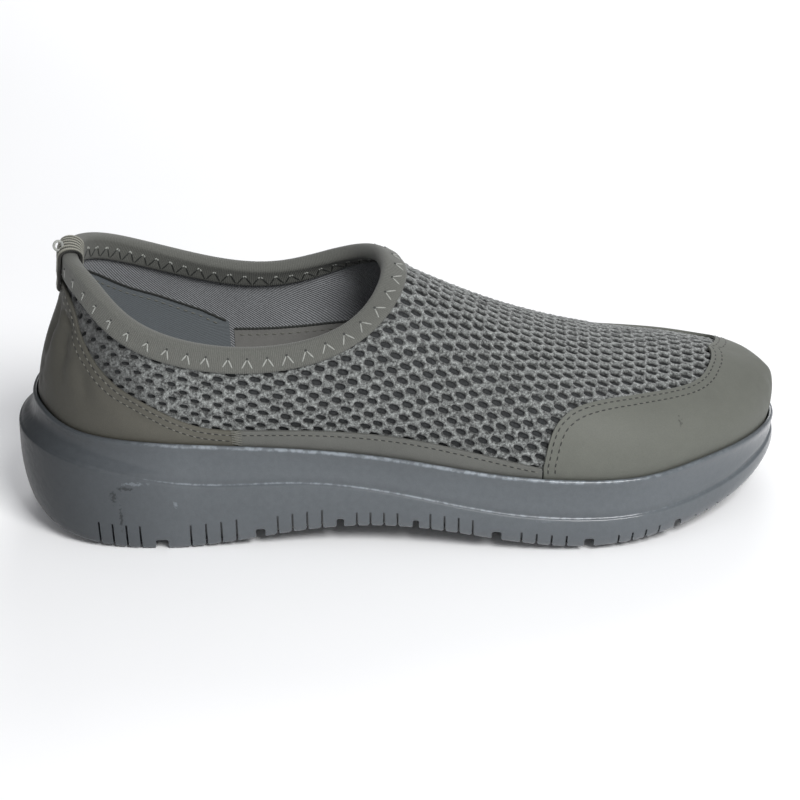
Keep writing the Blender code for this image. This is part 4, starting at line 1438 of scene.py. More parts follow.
# %% [markdown]
# Neighbouring cells share their rims, so rims at the same place are counted once. Every
# hole is a little different in size and place, as in a real knit, and the holes close
# towards the heel, where the knit is drawn tight.

# %% Rims and holes
HEEL_CLOSING = 0.45
CLOSING_REACH = (-0.115, -0.045)
CLOSING_SHARES = (0.5, 1.0)
RIM_SNAP = 2e-5
RIM_SPREAD = 0.00003
HOLE_SPREAD = 0.05
PLACE_SPREAD = 0.00008
SHOULDER_SHARE = 0.55
UNDER_SHARE = 0.93

random = np.random.default_rng(7)
rim_keys = (rims.reshape(-1, 2) / RIM_SNAP).round().astype(np.int64)
keys, rim_numbers = np.unique(rim_keys, axis=0, return_inverse=True)
rim_numbers = rim_numbers.reshape(len(centres), CORNERS)
rim_flat = np.zeros((len(keys), 2))
rim_flat[rim_numbers] = rims
is_knot = np.zeros(len(keys), bool)
is_knot[rim_numbers[:, ::2]] = True
rim_lift = np.where(is_knot, KNOT_LIFT, YARN_LIFT) + random.normal(0.0, RIM_SPREAD, len(keys))

middle = centres[:, None, :]
size = 1.0 + random.normal(0.0, HOLE_SPREAD, (len(centres), 1, 2))
at_heel = np.interp(carry_back(centres)[0][:, 0], CLOSING_REACH, (HEEL_CLOSING, 0.0))
size *= 1.0 - at_heel[:, None, None] * CLOSING_SHARES
holes = middle + hole * size + random.normal(0.0, PLACE_SPREAD, (len(centres), 1, 2))
shoulders = mix(rims, holes, SHOULDER_SHARE)
undersides = middle + (holes - middle) * UNDER_SHARE
flats = [rim_flat] + [part.reshape(-1, 2) for part in (shoulders, holes, undersides)] + [rim_flat]
lifts = [np.full(len(flats[1]), lift) for lift in (SHOULDER_LIFT, HOLE_LIFT, UNDER_LIFT)]
lifts = [rim_lift] + lifts + [np.full(len(rim_flat), UNDER_LIFT)]
print("shared rim corners:", len(keys))

# %% [markdown]
# Each level of a cell is joined to the next by a ring of faces. Along the border of the
# knit a last strip joins top and underside, so the piece is closed all round.

# %% Knitting the upper
flat_all = np.concatenate(flats)
places, normals, _ = carry_back(flat_all)
knit_points = places + normals * np.concatenate(lifts)[:, None]
starts = np.cumsum([0] + [len(part) for part in flats])
inner = np.arange(len(centres) * CORNERS).reshape(len(centres), CORNERS)
levels = [rim_numbers, inner + starts[1], inner + starts[2], inner + starts[3], rim_numbers + starts[4]]
quads = []
for upper, lower in zip(levels, levels[1:]):
    quads.append(np.stack([upper, np.roll(upper, -1, 1), np.roll(lower, -1, 1), lower], -1).reshape(-1, 4))
edges = np.stack([rim_numbers, np.roll(rim_numbers, -1, 1)], -1).reshape(-1, 2)
_, first_use, uses = np.unique(np.sort(edges, 1), axis=0, return_index=True, return_counts=True)
border = edges[first_use[uses == 1]]
quads.append(np.stack([border[:, 1], border[:, 0], border[:, 0] + starts[4], border[:, 1] + starts[4]], -1))
quads = np.concatenate(quads)
knit = mesh_piece("knit_upper", knit_points, quads)
# The depth of each corner lets the finish paint the rim lighter and the holes darker: painted light and
# shade.
paint(knit, "depth", np.repeat([0.0, 0.08, 0.62, 1.0, 1.0], [len(part) for part in flats]))
layer = knit.data.uv_layers.new(name="flat_pattern")
layer.data.foreach_set("uv", flat_all[quads.reshape(-1)].astype(np.float32).ravel())
print("knit:", len(quads) * 2, "triangles")

# %% [markdown]
# ## Stitches
# Every seam is made of single stitches: short rounded threads that sink into the
# leather at both ends, each beside a needle hole whose shade is painted as a small
# dark bead. One stitch is modelled from a primitive and copied along the seam.

# %% One stitch
STITCH_PITCH = 0.0027
STITCH_LENGTH = 0.0012
STITCH_WIDTH = 0.0005
STITCH_HEIGHT = 0.0005
DENT_LENGTH = 0.0018
DENT_WIDTH = 0.00055
DENT_HEIGHT = 0.00016
LOOK_AHEAD = 0.0005


def model_of(name):
    """Take a finished primitive's corners and faces, and remove its object."""
    model = bpy.context.object
    corners = read(model.data.vertices, "co", 3).astype(float)
    model_faces = [tuple(face.vertices) for face in model.data.polygons]
    bpy.data.objects.remove(model)
    print(name, "has", len(model_faces), "faces")
    return corners, model_faces


bpy.ops.object.select_all(action="DESELECT")
bpy.ops.mesh.primitive_uv_sphere_add(segments=8, ring_count=5, radius=0.5, rotation=(0, math.pi / 2, 0))
bpy.ops.object.transform_apply(location=False, rotation=True, scale=False)
bpy.ops.object.mode_set(mode="EDIT")
bpy.ops.mesh.select_all(action="SELECT")
bpy.ops.transform.resize(value=(1.0, 1.0, 0.8))
bpy.ops.object.mode_set(mode="OBJECT")
bead = model_of("one stitch")


def copies(name, model, frames):
    """Join copies of a model. A frame has a centre and three scaled axes."""
    corners, model_faces = model
    stack = np.concatenate([corners @ axes + centre for centre, axes in frames])
    faces = [
        tuple(corner + number * len(corners) for corner in face)
        for number in range(len(frames))
        for face in model_faces
    ]
    return mesh_piece(name, stack, faces)


# %% [markdown]
# A seam is walked at an even pitch. At each step a frame stands on the upper: one axis
# along the seam, one across it and one outward, each as long as the stitch is wide.


# %% Walking a seam
def walk(path, pitch, shift=0.0):
    """Step along a path at an even pitch. Returns places and directions."""
    steps = np.linalg.norm(np.diff(path, axis=0), axis=1)
    along = np.concatenate([[0], np.cumsum(steps)])
    count = int((along[-1] - shift) / pitch)
    stops = (np.arange(count) + 0.5) * pitch + shift
    stops = stops[(stops > pitch / 2) & (stops < along[-1] - pitch / 2)]
    places = np.stack([np.interp(stops, along, path[:, axis]) for axis in range(3)], 1)
    ahead = np.stack([np.interp(stops + LOOK_AHEAD, along, path[:, axis]) for axis in range(3)], 1)
    behind = np.stack([np.interp(stops - LOOK_AHEAD, along, path[:, axis]) for axis in range(3)], 1)
    return places, unit(ahead - behind)


def frames_on(places, directions, lift, length, width, height):
    """Stand frames on the upper, along directions, with the size of one stitch."""
    spots, normals = nearest_upper(places, lift)
    frames = []
    for spot, direction, normal in zip(spots, directions, normals):
        run = unit(direction - normal * (direction @ normal))
        frames.append((spot, np.array([run * length, np.cross(normal, run) * width, normal * height])))
    return frames


def inset_path(sections, heights, distance):
    """Follow an edge line at a distance inside it."""
    edge, normals = on_upper(sections, heights)
    run = unit(np.gradient(edge, axis=0))
    inward = unit(np.cross(run, normals))
    for _ in range(3):
        inward = unit(inward + np.roll(inward, 1, 0) * (np.arange(len(inward)) > 0)[:, None])
    return nearest_upper(edge + inward * distance)[0]

# %% [markdown]
# Cap and counter are sewn with two rows, the bands with one. A bar-tack, which is a few
# long stitches side by side, holds the joint of counter and band.

# %% Sewing the panels
SEAM_ROWS = (0.0016, 0.0042)
PANEL_TOP = GAP + OVERLAY
FOOT_STEPS = 7
TACKS = 12
TACK_HEIGHTS = (0.01, 0.13)
TACK_LEAN = 0.25
TACK_LENGTH = 0.0042
TACK_WIDTH = 0.0006
TACK_LIFT = 0.0001

cap_lateral = np.linspace(CAP_START, 11.6, 160)
cap_line = np.concatenate([cap_lateral, SECTIONS - cap_lateral[::-1][1:]])
cap_heights = edge_height(CAP_EDGES, cap_line)
foot_rise = np.linspace(0.0, cap_heights[0], FOOT_STEPS + 1)[:-1]
foot_start, foot_end = np.full(FOOT_STEPS, CAP_START), np.full(FOOT_STEPS, SECTIONS - CAP_START)
cap_line = np.concatenate([foot_start, cap_line, foot_end])
cap_heights = np.concatenate([foot_rise, cap_heights, foot_rise[::-1]])
counter_line = np.linspace(-COUNTER_END, COUNTER_END, 240)
counter_heights = edge_height(COUNTER_EDGES, counter_line)
seams = [(cap_line, cap_heights, distance) for distance in SEAM_ROWS]
seams += [(counter_line, counter_heights, distance) for distance in SEAM_ROWS]
for line in (band_sections, medial_band_sections):
    seams.append((line, edge_height(BAND_EDGES, line), SEAM_ROWS[0]))
thread_frames, hole_frames = [], []
for line, heights, distance in seams:
    path = inset_path(line, heights, distance)
    places, directions = walk(path, STITCH_PITCH)
    thread_frames += frames_on(places, directions, PANEL_TOP, STITCH_LENGTH, STITCH_WIDTH, STITCH_HEIGHT)
    places, directions = walk(path, STITCH_PITCH, STITCH_PITCH / 2)
    hole_frames += frames_on(places, directions, PANEL_TOP, DENT_LENGTH, DENT_WIDTH, DENT_HEIGHT)
joint = COUNTER_END + PANEL_SLIT / 2
for section in (joint, SECTIONS - joint):
    tack_heights = np.linspace(*TACK_HEIGHTS, TACKS)
    spots, _ = on_upper(section, tack_heights, PANEL_TOP)
    run = unit(on_upper(section + 0.02, tack_heights)[0] - on_upper(section - 0.02, tack_heights)[0])
    turn = np.where(np.arange(TACKS) % 2, TACK_LEAN, -TACK_LEAN)[:, None]
    lean = run + unit(np.gradient(spots, axis=0)) * turn
    thread_frames += frames_on(spots, lean, PANEL_TOP + TACK_LIFT, TACK_LENGTH, TACK_WIDTH, TACK_WIDTH)
panel_seams = copies("panel_seams", bead, thread_frames)
# Dark beads stand in for the needle holes: painted shade.
needle_hole_shadows = copies("needle_hole_shadows", bead, hole_frames)
print("stitches:", len(thread_frames), "needle holes:", len(hole_frames))

# %% [markdown]
# The zigzag on the collar tape is sewn through it, so it shows on both sides. Outside, a
# light thread climbs out of a needle hole, painted as a dark spot of shade, and falls
# like a roof, narrow as a hook near the heel. Inside, the darker second thread lies in
# a V between small light loops.

# %% Zigzag seam
ZIGZAG_PITCH = 0.0070
INNER_PITCH = 0.0057
ZIGZAG_LOW = 0.0066
ZIGZAG_FOOT = 0.0060
ZIGZAG_HIGH = 0.0028
ZIGZAG_HALF = 0.0020
THREAD = 0.00058
THREAD_OVERLAP = 1.06
THREAD_SPREAD = 0.0002
PEAK_SHARE = 0.1
LOOP_SHAPE = np.array([[0.25], [1.3], [1.3]])
TAB_CLEAR = 0.0006
TIP_LIFT = 0.0003
INNER_HALF = INNER_PITCH * 0.42
# Near the heel the outer thread is a narrow hook, and it opens over this stretch
HOOK_REACH = (0.030, 0.100)
HOOK_HALF = 0.0008
HOOK_SHARE = 0.40

tape_top = BINDING_GAP + OVERLAY
loose = np.random.default_rng(11)


def zigzag_legs(side, pitch, half, apex, foot, hook_half, hook_share):
    """Lay the two legs of every zigzag across the tape, clear of the pull tab."""
    length = collar_length[-1]
    tents = (np.arange(int(length / pitch)) + 0.5) * (length / int(length / pitch))
    tents = tents[np.minimum(tents, length - tents) > TAB_WIDTH / 2 + half + TAB_CLEAR]
    from_heel = np.minimum(tents, length - tents)
    halves = np.interp(from_heel, HOOK_REACH, (hook_half, half))
    shares = np.interp(from_heel, HOOK_REACH, (hook_share, 1.0))
    tents = tents + loose.normal(0.0, THREAD_SPREAD, len(tents))
    frames, ends = [], []
    for turn in (-1, 1):
        shift = halves * turn
        reach = apex + (foot - apex) * (shares if turn < 0 else np.ones(len(shares)))
        reach = reach + loose.normal(0.0, THREAD_SPREAD, len(tents))
        feet = fold(tents + shift, [(side, tape_top, reach[:, None])])[0]
        peaks = fold(tents + shift * PEAK_SHARE, [(side, tape_top, apex)])[0]
        _, normals = nearest_upper((feet + peaks) / 2)
        for low, high, normal in zip(feet, peaks, normals):
            run = high - low
            normal = unit(normal - unit(run) * (unit(run) @ normal))
            axes = np.array([run * THREAD_OVERLAP, np.cross(normal, unit(run)) * THREAD, normal * THREAD])
            frames.append(((low + high) / 2, axes))
            tip = high + unit(run) * TIP_LIFT if side == "outer" else low
            ends.append((tip, axes * LOOP_SHAPE))
    return frames, ends


outer_legs, outer_holes = zigzag_legs(
    "outer", ZIGZAG_PITCH, ZIGZAG_HALF, ZIGZAG_HIGH, ZIGZAG_FOOT, HOOK_HALF, HOOK_SHARE,
)
inner_legs, inner_loops = zigzag_legs(
    "inner", INNER_PITCH, INNER_HALF, ZIGZAG_LOW, ZIGZAG_HIGH, INNER_HALF, 1.0,
)
zigzag = copies("zigzag_seam", bead, outer_legs + inner_loops)
# The dark spots at the outer peaks are the painted shade of the needle holes.
under_thread = copies("under_thread", bead, inner_legs + outer_holes)
print("zigzag threads:", len(outer_legs), "outside,", len(inner_legs), "inside")

# %% [markdown]
# Inside, a cord of thread covers the joint of lining and heel panel, with a row of
# stitches below it. A loose loop of thread stands on the back of the pull tab.

# %% Seams of the lining
CORD_PITCH = 0.0016
CORD_LIFT = -WALL - 0.0004
CORD_SIZE = (0.0026, 0.0011, 0.0008)
LINING_ROW = 0.0026
LINING_PITCH = 0.0032
LINING_LIFT_OFF = -WALL - INNER_PANEL - 0.00008
LINING_STITCH = (0.0018, 0.0006, 0.0004)
LOOP_OFFSET = Vector((-0.0024, -0.0042, 0.0036))
LOOP_TURN = (1.25, 0.5, 0.35)

inner_seams = (
    (INNER_SEAM, np.linspace(-HEEL_LINING_END, HEEL_LINING_END, 260)),
    (INNER_BAND, np.linspace(*FOOT_LINING_ENDS, 60)),
    (INNER_BAND, SECTIONS - np.linspace(*FOOT_LINING_ENDS[::-1], 60)),
)
cord_frames, lining_frames = [], []
for edge, sections in inner_seams:
    heights = inner_line(edge, sections)
    path, normals = on_upper(sections, heights)
    spots, directions = walk(path, CORD_PITCH)
    cord_frames += frames_on(spots, directions, CORD_LIFT, *CORD_SIZE)
    inward = unit(np.cross(unit(np.gradient(path, axis=0)), normals))
    inward *= -np.sign(inward[:, 2:])
    spots, directions = walk(nearest_upper(path + inward * LINING_ROW)[0], LINING_PITCH)
    lining_frames += frames_on(spots, directions, LINING_LIFT_OFF, *LINING_STITCH)
lining_cord = copies("lining_cord", bead, cord_frames)
lining_seams = copies("lining_seams", bead, lining_frames)

bpy.ops.object.select_all(action="DESELECT")
bpy.ops.mesh.primitive_torus_add(
    major_radius=0.0017, minor_radius=0.0005, major_segments=28, minor_segments=10,
    location=Vector(collar_tops[0]) + LOOP_OFFSET, rotation=LOOP_TURN,
)
thread_loop = bpy.context.object
thread_loop.name = "thread_loop"
bpy.ops.object.transform_apply(location=True, rotation=True, scale=True)
print("cord and stitches of the lining:", len(cord_frames), len(lining_frames))

# %% [markdown]
# ## Finishes
# Grain, fuzz and uneven dye are the same idea at different sizes: a noise that shifts
# the colour a little and raises the surface a little. It is built once as a group.


# %% Starting a group
def new_group(name, inputs, outputs):
    """Start a node group with named sockets. Returns the group and its two ends."""
    group = bpy.data.node_groups.new(name, "ShaderNodeTree")
    for label, kind in inputs:
        group.interface.new_socket(label, in_out="INPUT", socket_type="NodeSocket" + kind)
    for label, kind in outputs:
        group.interface.new_socket(label, in_out="OUTPUT", socket_type="NodeSocket" + kind)
    return group, group.nodes.new("NodeGroupInput"), group.nodes.new("NodeGroupOutput")


def object_place(tree):
    """Return the socket of a place on the piece, in metres."""
    return add_node(tree, "ShaderNodeTexCoord").outputs["Object"]


def use(tree, group, **settings):
    """Place a group in a material, with its own values."""
    node = tree.nodes.new("ShaderNodeGroup")
    node.node_tree = group
    for name, value in settings.items():
        if isinstance(value, bpy.types.NodeSocket):
            tree.links.new(value, node.inputs[name])
        else:
            node.inputs[name].default_value = value
    return node


# %% [markdown]
# The first group mottles a colour: the noise moves between one minus and one plus the
# amount, and the colour is scaled by it. The same noise goes out as a height.

# %% Mottled colour
NOISE_LOW = 0.3
NOISE_HIGH = 0.7

mottle, start, end = new_group(
    "mottle",
    (("Colour", "Color"), ("Scale", "Float"), ("Amount", "Float")),
    (("Colour", "Color"), ("Height", "Float")),
)
noise = add_node(
    mottle, "ShaderNodeTexNoise", Vector=object_place(mottle), Scale=start.outputs["Scale"], Detail=5.0,
)
spread = add_node(
    mottle, "ShaderNodeMapRange", Value=noise.outputs["Fac"], From_Min=NOISE_LOW, From_Max=NOISE_HIGH,
)
for operation, socket in (("SUBTRACT", "To Min"), ("ADD", "To Max")):
    around_one = add_node(mottle, "ShaderNodeMath", operation=operation)
    around_one.inputs[0].default_value = 1.0
    mottle.links.new(start.outputs["Amount"], around_one.inputs[1])
    mottle.links.new(around_one.outputs[0], spread.inputs[socket])
mottle.links.new(toned(mottle, start.outputs["Colour"], spread.outputs["Result"]), end.inputs["Colour"])
mottle.links.new(noise.outputs["Fac"], end.inputs["Height"])
print("mottle:", len(mottle.nodes), "nodes")

# %% [markdown]
# Handling leaves small marks at single places. The second group measures how far a
# point is from the mark's centre, in units of the mark's size, and a strong noise
# frays the border, so that a mark looks rubbed and not stamped.

# %% Single marks
FRAY_SCALE = 900.0
FRAY = 3.5
MARK_INSIDE = 2.1
MARK_OUTSIDE = 2.7

mark, start, end = new_group(
    "mark",
    (("Colour", "Color"), ("Centre", "Vector"), ("Size", "Vector"), ("Shade", "Float")),
    (("Colour", "Color"),),
)
place = object_place(mark)
away = add_node(mark, "ShaderNodeVectorMath", operation="SUBTRACT")
mark.links.new(place, away.inputs[0])
mark.links.new(start.outputs["Centre"], away.inputs[1])
shrunk = add_node(mark, "ShaderNodeVectorMath", operation="DIVIDE")
mark.links.new(away.outputs["Vector"], shrunk.inputs[0])
mark.links.new(start.outputs["Size"], shrunk.inputs[1])
reach = add_node(mark, "ShaderNodeVectorMath", operation="LENGTH")
mark.links.new(shrunk.outputs["Vector"], reach.inputs[0])
noise = add_node(mark, "ShaderNodeTexNoise", Vector=place, Scale=FRAY_SCALE, Detail=5.0)
ragged = add_node(mark, "ShaderNodeMath", operation="MULTIPLY_ADD")
mark.links.new(noise.outputs["Fac"], ragged.inputs[0])
ragged.inputs[1].default_value = FRAY
mark.links.new(reach.outputs["Value"], ragged.inputs[2])
spread = add_node(
    mark, "ShaderNodeMapRange", Value=ragged.outputs[0],
    From_Min=MARK_INSIDE, From_Max=MARK_OUTSIDE, To_Max=1.0,
)
mark.links.new(start.outputs["Shade"], spread.inputs["To Min"])
mark.links.new(toned(mark, start.outputs["Colour"], spread.outputs["Result"]), end.inputs["Colour"])
print("mark:", len(mark.nodes), "nodes")

# %% [markdown]
# The heel is painted darker: mostly painted shade, where the light falls off at the
# back, and some dirt. The third group fades a colour along the shoe, from a shade at
# the very back to the full colour in front of the heel. A least value keeps the
# darkest part from turning black.

# %% Painted shade at the heel
FADE_BACK = -0.148
FADE_FRONT = -0.085

heel_fade, start, end = new_group(
    "heel_fade", (("Colour", "Color"), ("Shade", "Float"), ("Least", "Float")), (("Colour", "Color"),),
)
parts = add_node(heel_fade, "ShaderNodeSeparateXYZ", Vector=object_place(heel_fade))
fade = add_node(
    heel_fade, "ShaderNodeMapRange", Value=parts.outputs["X"],
    From_Min=FADE_BACK, From_Max=FADE_FRONT, To_Max=1.0,
)
heel_fade.links.new(start.outputs["Shade"], fade.inputs["To Min"])
held = add_node(heel_fade, "ShaderNodeMath", operation="MAXIMUM")
heel_fade.links.new(fade.outputs["Result"], held.inputs[0])
heel_fade.links.new(start.outputs["Least"], held.inputs[1])
heel_fade.links.new(toned(heel_fade, start.outputs["Colour"], held.outputs[0]), end.inputs["Colour"])
print("heel_fade:", len(heel_fade.nodes), "nodes")

# %% [markdown]
# Colours are written as they look under this scene's light. The light brightens them,
# so one gain turns them back into the colour of the finish itself.

# %% Colours and bumps
STUDIO_GAIN = 0.62


def seen(red, green, blue):
    """Colour of a finish from its colour in the studio light, which brightens it."""
    return tuple(part * STUDIO_GAIN for part in linear(red, green, blue)[:3]) + (1.0,)


def bump(tree, height, distance, under=None):
    """Raise the surface by a height, on top of another bump."""
    node = add_node(tree, "ShaderNodeBump", Height=height, Distance=distance, Strength=1.0)
    if under:
        tree.links.new(under.outputs["Normal"], node.inputs["Normal"])
    return node


def put(tree, shader, socket, value):
    """Link a value that varies over the surface to a socket of the shader."""
    tree.links.new(value, shader.inputs[socket])


# %% [markdown]
# The knit's yarn is a fuzzy twist: light and dark fibres well under a millimetre long
# over slower changes of the dye. The sheen is the light that catches loose fibres.

# %% Yarn of the knit
# Colour factors of painted light on the raised rim and painted shade deep in the holes
RIM_LIGHT = 1.15
HOLE_SHADE = 0.06

knit_yarn, tree, shader = new_material("knit_yarn", 0.95, Sheen_Weight=0.25, Sheen_Roughness=0.6)
slow = use(tree, mottle, Colour=seen(130, 133, 131), Scale=60.0, Amount=0.06)
fibres = use(tree, mottle, Colour=slow.outputs["Colour"], Scale=900.0, Amount=1.0)
fuzz = use(tree, mottle, Colour=fibres.outputs["Colour"], Scale=2300.0, Amount=0.55)
# Painted shade, with some dirt, darkens the yarn towards the back of the heel.
tone_shift = use(tree, heel_fade, Colour=fuzz.outputs["Colour"], Shade=-0.45, Least=0.3)
# Painted light and shade by depth: lighter on the raised rim, darker down the holes and underneath.
depth = add_node(tree, "ShaderNodeAttribute", attribute_name="depth")
shade = add_node(tree, "ShaderNodeMapRange", Value=depth.outputs["Fac"], To_Min=RIM_LIGHT, To_Max=HOLE_SHADE)
put(tree, shader, "Base Color", toned(tree, tone_shift.outputs["Colour"], shade.outputs["Result"]))
twist = bump(tree, fibres.outputs["Height"], 0.0006)
hairs = bump(tree, fuzz.outputs["Height"], 0.0003, twist)
put(tree, shader, "Normal", hairs.outputs["Normal"])
print(knit_yarn.name, len(tree.nodes), "nodes")

# %% [markdown]
# The foam behind the holes is open-pored and takes most of the light. A coarse mottle
# on a dark colour is enough, as only small spots of it are ever seen.

# %% Foam behind the holes
foam_dark, tree, shader = new_material("foam_dark", 1.0)
pores = use(tree, mottle, Colour=seen(64, 66, 67), Scale=1500.0, Amount=0.4)
put(tree, shader, "Base Color", pores.outputs["Colour"])
print(foam_dark.name, len(tree.nodes), "nodes")

# %% [markdown]
# Twill shows fine diagonal ribs. They are drawn on the lining's own layout in metres,
# so they keep their slope all round the inside.

# %% Twill of the lining
TWILL_RIB = 0.0009
# A wave texture of scale one repeats after this many metres
WAVE_REPEAT = 0.314


def diagonal_ribs(tree, rib, turn):
    """Draw even ribs across the piece's own layout. Returns the wave node."""
    layout = add_node(tree, "ShaderNodeTexCoord")
    turned = add_node(tree, "ShaderNodeMapping", Vector=layout.outputs["UV"], Rotation=(0.0, 0.0, turn))
    return add_node(
        tree, "ShaderNodeTexWave", Vector=turned.outputs["Vector"], Scale=WAVE_REPEAT / rib, Distortion=0.6,
        Detail=2.0, Detail_Scale=3.0,
    )


twill, tree, shader = new_material("lining_twill", 0.92, Sheen_Weight=0.1)
weave = diagonal_ribs(tree, TWILL_RIB, math.radians(50))
slow = use(tree, mottle, Colour=seen(168, 170, 173), Scale=70.0, Amount=0.05)
threads = use(tree, mottle, Colour=slow.outputs["Colour"], Scale=2200.0, Amount=0.22)
shade = add_node(tree, "ShaderNodeMapRange", Value=weave.outputs["Fac"], To_Min=0.86, To_Max=1.06)
put(tree, shader, "Base Color", toned(tree, threads.outputs["Colour"], shade.outputs["Result"]))
put(tree, shader, "Normal", bump(tree, weave.outputs["Fac"], 0.00025).outputs["Normal"])
print(twill.name, len(tree.nodes), "nodes")

# %% [markdown]
# The panels are matt synthetic leather: almost one colour, with a very fine grain, a
# slow unevenness from the dye and a soft gloss that the grain breaks up.

# %% Synthetic leather
def leather(name, colour, shade=1.0, marks=()):
    """Matt synthetic leather, darker at the heel, with small marks at places on the shoe."""
    material, tree, shader = new_material(name, 0.62, Specular_IOR_Level=0.35)
    slow = use(tree, mottle, Colour=colour, Scale=24.0, Amount=0.05)
    dye = use(tree, mottle, Colour=slow.outputs["Colour"], Scale=260.0, Amount=0.035)
    grain = use(tree, mottle, Colour=dye.outputs["Colour"], Scale=2600.0, Amount=0.07)
    # Painted shade, with some dirt, darkens the panel towards the back of the heel.
    last = use(tree, heel_fade, Colour=grain.outputs["Colour"], Shade=shade)
    for centre, size, tone in marks:
        last = use(tree, mark, Colour=last.outputs["Colour"], Centre=centre, Size=size, Shade=tone)
    put(tree, shader, "Base Color", last.outputs["Colour"])
    gloss = add_node(tree, "ShaderNodeMapRange", Value=dye.outputs["Height"], To_Min=0.54, To_Max=0.74)
    put(tree, shader, "Roughness", gloss.outputs["Result"])
    pebble = bump(tree, grain.outputs["Height"], 0.00007)
    wavy = bump(tree, dye.outputs["Height"], 0.0001, pebble)
    put(tree, shader, "Normal", wavy.outputs["Normal"])
    return material


cap_mark = tuple(on_upper(9.7, 0.34)[0])
cap_leather = leather("cap_leather", seen(120, 122, 114), 1.0, ((cap_mark, (0.0010, 0.004, 0.0018), 0.5),))
counter_leather = leather("counter_leather", seen(112, 110, 100), 0.32)
band_leather = leather("band_leather", seen(122, 123, 118))
print("leathers:", cap_leather.name, counter_leather.name, band_leather.name)

# %% [markdown]
# The sole is blue-grey moulded rubber with a skin from the mould: smoother than the
# leather, so edges and lips carry long soft highlights, with scuffs and dust on it.

# %% Rubber of the sole
SCUFF_SIDE = -0.09
# Place along the shoe and height, then size in metres and shade
SCUFFS = (
    (-0.109, 0.031, (0.0050, 0.012, 0.0009), 1.9),
    (-0.113, 0.028, (0.0035, 0.012, 0.0010), 0.45),
    (-0.121, 0.024, (0.0014, 0.012, 0.0030), 0.45),
    (-0.117, 0.012, (0.0008, 0.012, 0.0055), 0.40),
    (-0.091, 0.021, (0.0008, 0.012, 0.0018), 1.8),
    (0.046, 0.018, (0.0040, 0.012, 0.0006), 1.25),
)

sole_rubber, tree, shader = new_material("sole_rubber", 0.45, Coat_Roughness=0.13, Specular_IOR_Level=0.22)
slow = use(tree, mottle, Colour=seen(107, 113, 118), Scale=16.0, Amount=0.07)
skin = use(tree, mottle, Colour=slow.outputs["Colour"], Scale=420.0, Amount=0.05)
dust = use(tree, mottle, Colour=skin.outputs["Colour"], Scale=3000.0, Amount=0.05)
# Painted shade, with some dirt, darkens the rubber towards the back of the heel.
last = use(tree, heel_fade, Colour=dust.outputs["Colour"], Shade=0.20)
for along, height, size, tone in SCUFFS:
    spot = sole.closest_point_on_mesh(Vector((along, SCUFF_SIDE, height)))[1]
    last = use(tree, mark, Colour=last.outputs["Colour"], Centre=tuple(spot), Size=size, Shade=tone)
gloss = add_node(tree, "ShaderNodeMapRange", Value=skin.outputs["Height"], To_Min=0.32, To_Max=0.54)
put(tree, shader, "Roughness", gloss.outputs["Result"])
polish = use(tree, heel_fade, Colour=(0.7, 0.7, 0.7, 1.0), Shade=0.0)
put(tree, shader, "Coat Weight", polish.outputs["Colour"])
wavy = bump(tree, slow.outputs["Height"], 0.0022)
pits = bump(tree, skin.outputs["Height"], 0.00012, wavy)
put(tree, shader, "Normal", pits.outputs["Normal"])
print(sole_rubber.name, len(SCUFFS), "scuffs")

# %% [markdown]
# The lip and the step of the sole get a painted highlight, in patches, and less at
# heel and toe. The marks painted on the sole's corners say where these edges run, and
# where the grooves and the underside are, which get painted shade.

# %% Painted highlights on edges and painted shade in grooves
TOE_FADE = (0.055, 0.105)
TOE_HIGHLIGHT = 0.35
HIGHLIGHT_GAIN = 2.5
GROOVE_SHADE = 0.25
WHITE = (1.0, 1.0, 1.0, 1.0)

edge = add_node(tree, "ShaderNodeAttribute", attribute_name="edge")
patchy = add_node(
    tree, "ShaderNodeMapRange", Value=skin.outputs["Height"],
    From_Min=0.42, From_Max=0.58, To_Min=0.45, To_Max=1.0,
)
before_heel = use(tree, heel_fade, Colour=WHITE, Shade=-1.2)
parts = add_node(tree, "ShaderNodeSeparateXYZ", Vector=object_place(tree))
before_toe = add_node(
    tree, "ShaderNodeMapRange", Value=parts.outputs["X"], From_Min=TOE_FADE[0], From_Max=TOE_FADE[1],
    To_Min=1.0, To_Max=TOE_HIGHLIGHT,
)
# Painted highlight: lip and step are made lighter in patches, less at heel and toe.
tone_shift = times(tree, edge.outputs["Fac"], patchy.outputs["Result"])
sides = times(tree, before_heel.outputs["Colour"], before_toe.outputs["Result"])
painted_highlight = add_node(
    tree, "ShaderNodeMapRange", Value=times(tree, tone_shift, sides),
    From_Min=0.25, From_Max=1.0, To_Min=1.0, To_Max=HIGHLIGHT_GAIN,
)
bright = toned(tree, last.outputs["Colour"], painted_highlight.outputs["Result"])
# Painted shade: the grooves and the underside are made darker.
under = add_node(tree, "ShaderNodeAttribute", attribute_name="under")
groove_shadow = add_node(tree, "ShaderNodeMapRange", Value=under.outputs["Fac"], To_Min=1.0, To_Max=GROOVE_SHADE)
put(tree, shader, "Base Color", toned(tree, bright, groove_shadow.outputs["Result"]))
print(sole_rubber.name, len(tree.nodes), "nodes")

# %% [markdown]
# Tape, webbing and sock are ribbed cloths of one recipe: a wave on the piece's own
# layout, in colour and in relief, and fibres over it. Threads are twisted and a little
# silky, and far too thin to need more than a mottled colour.

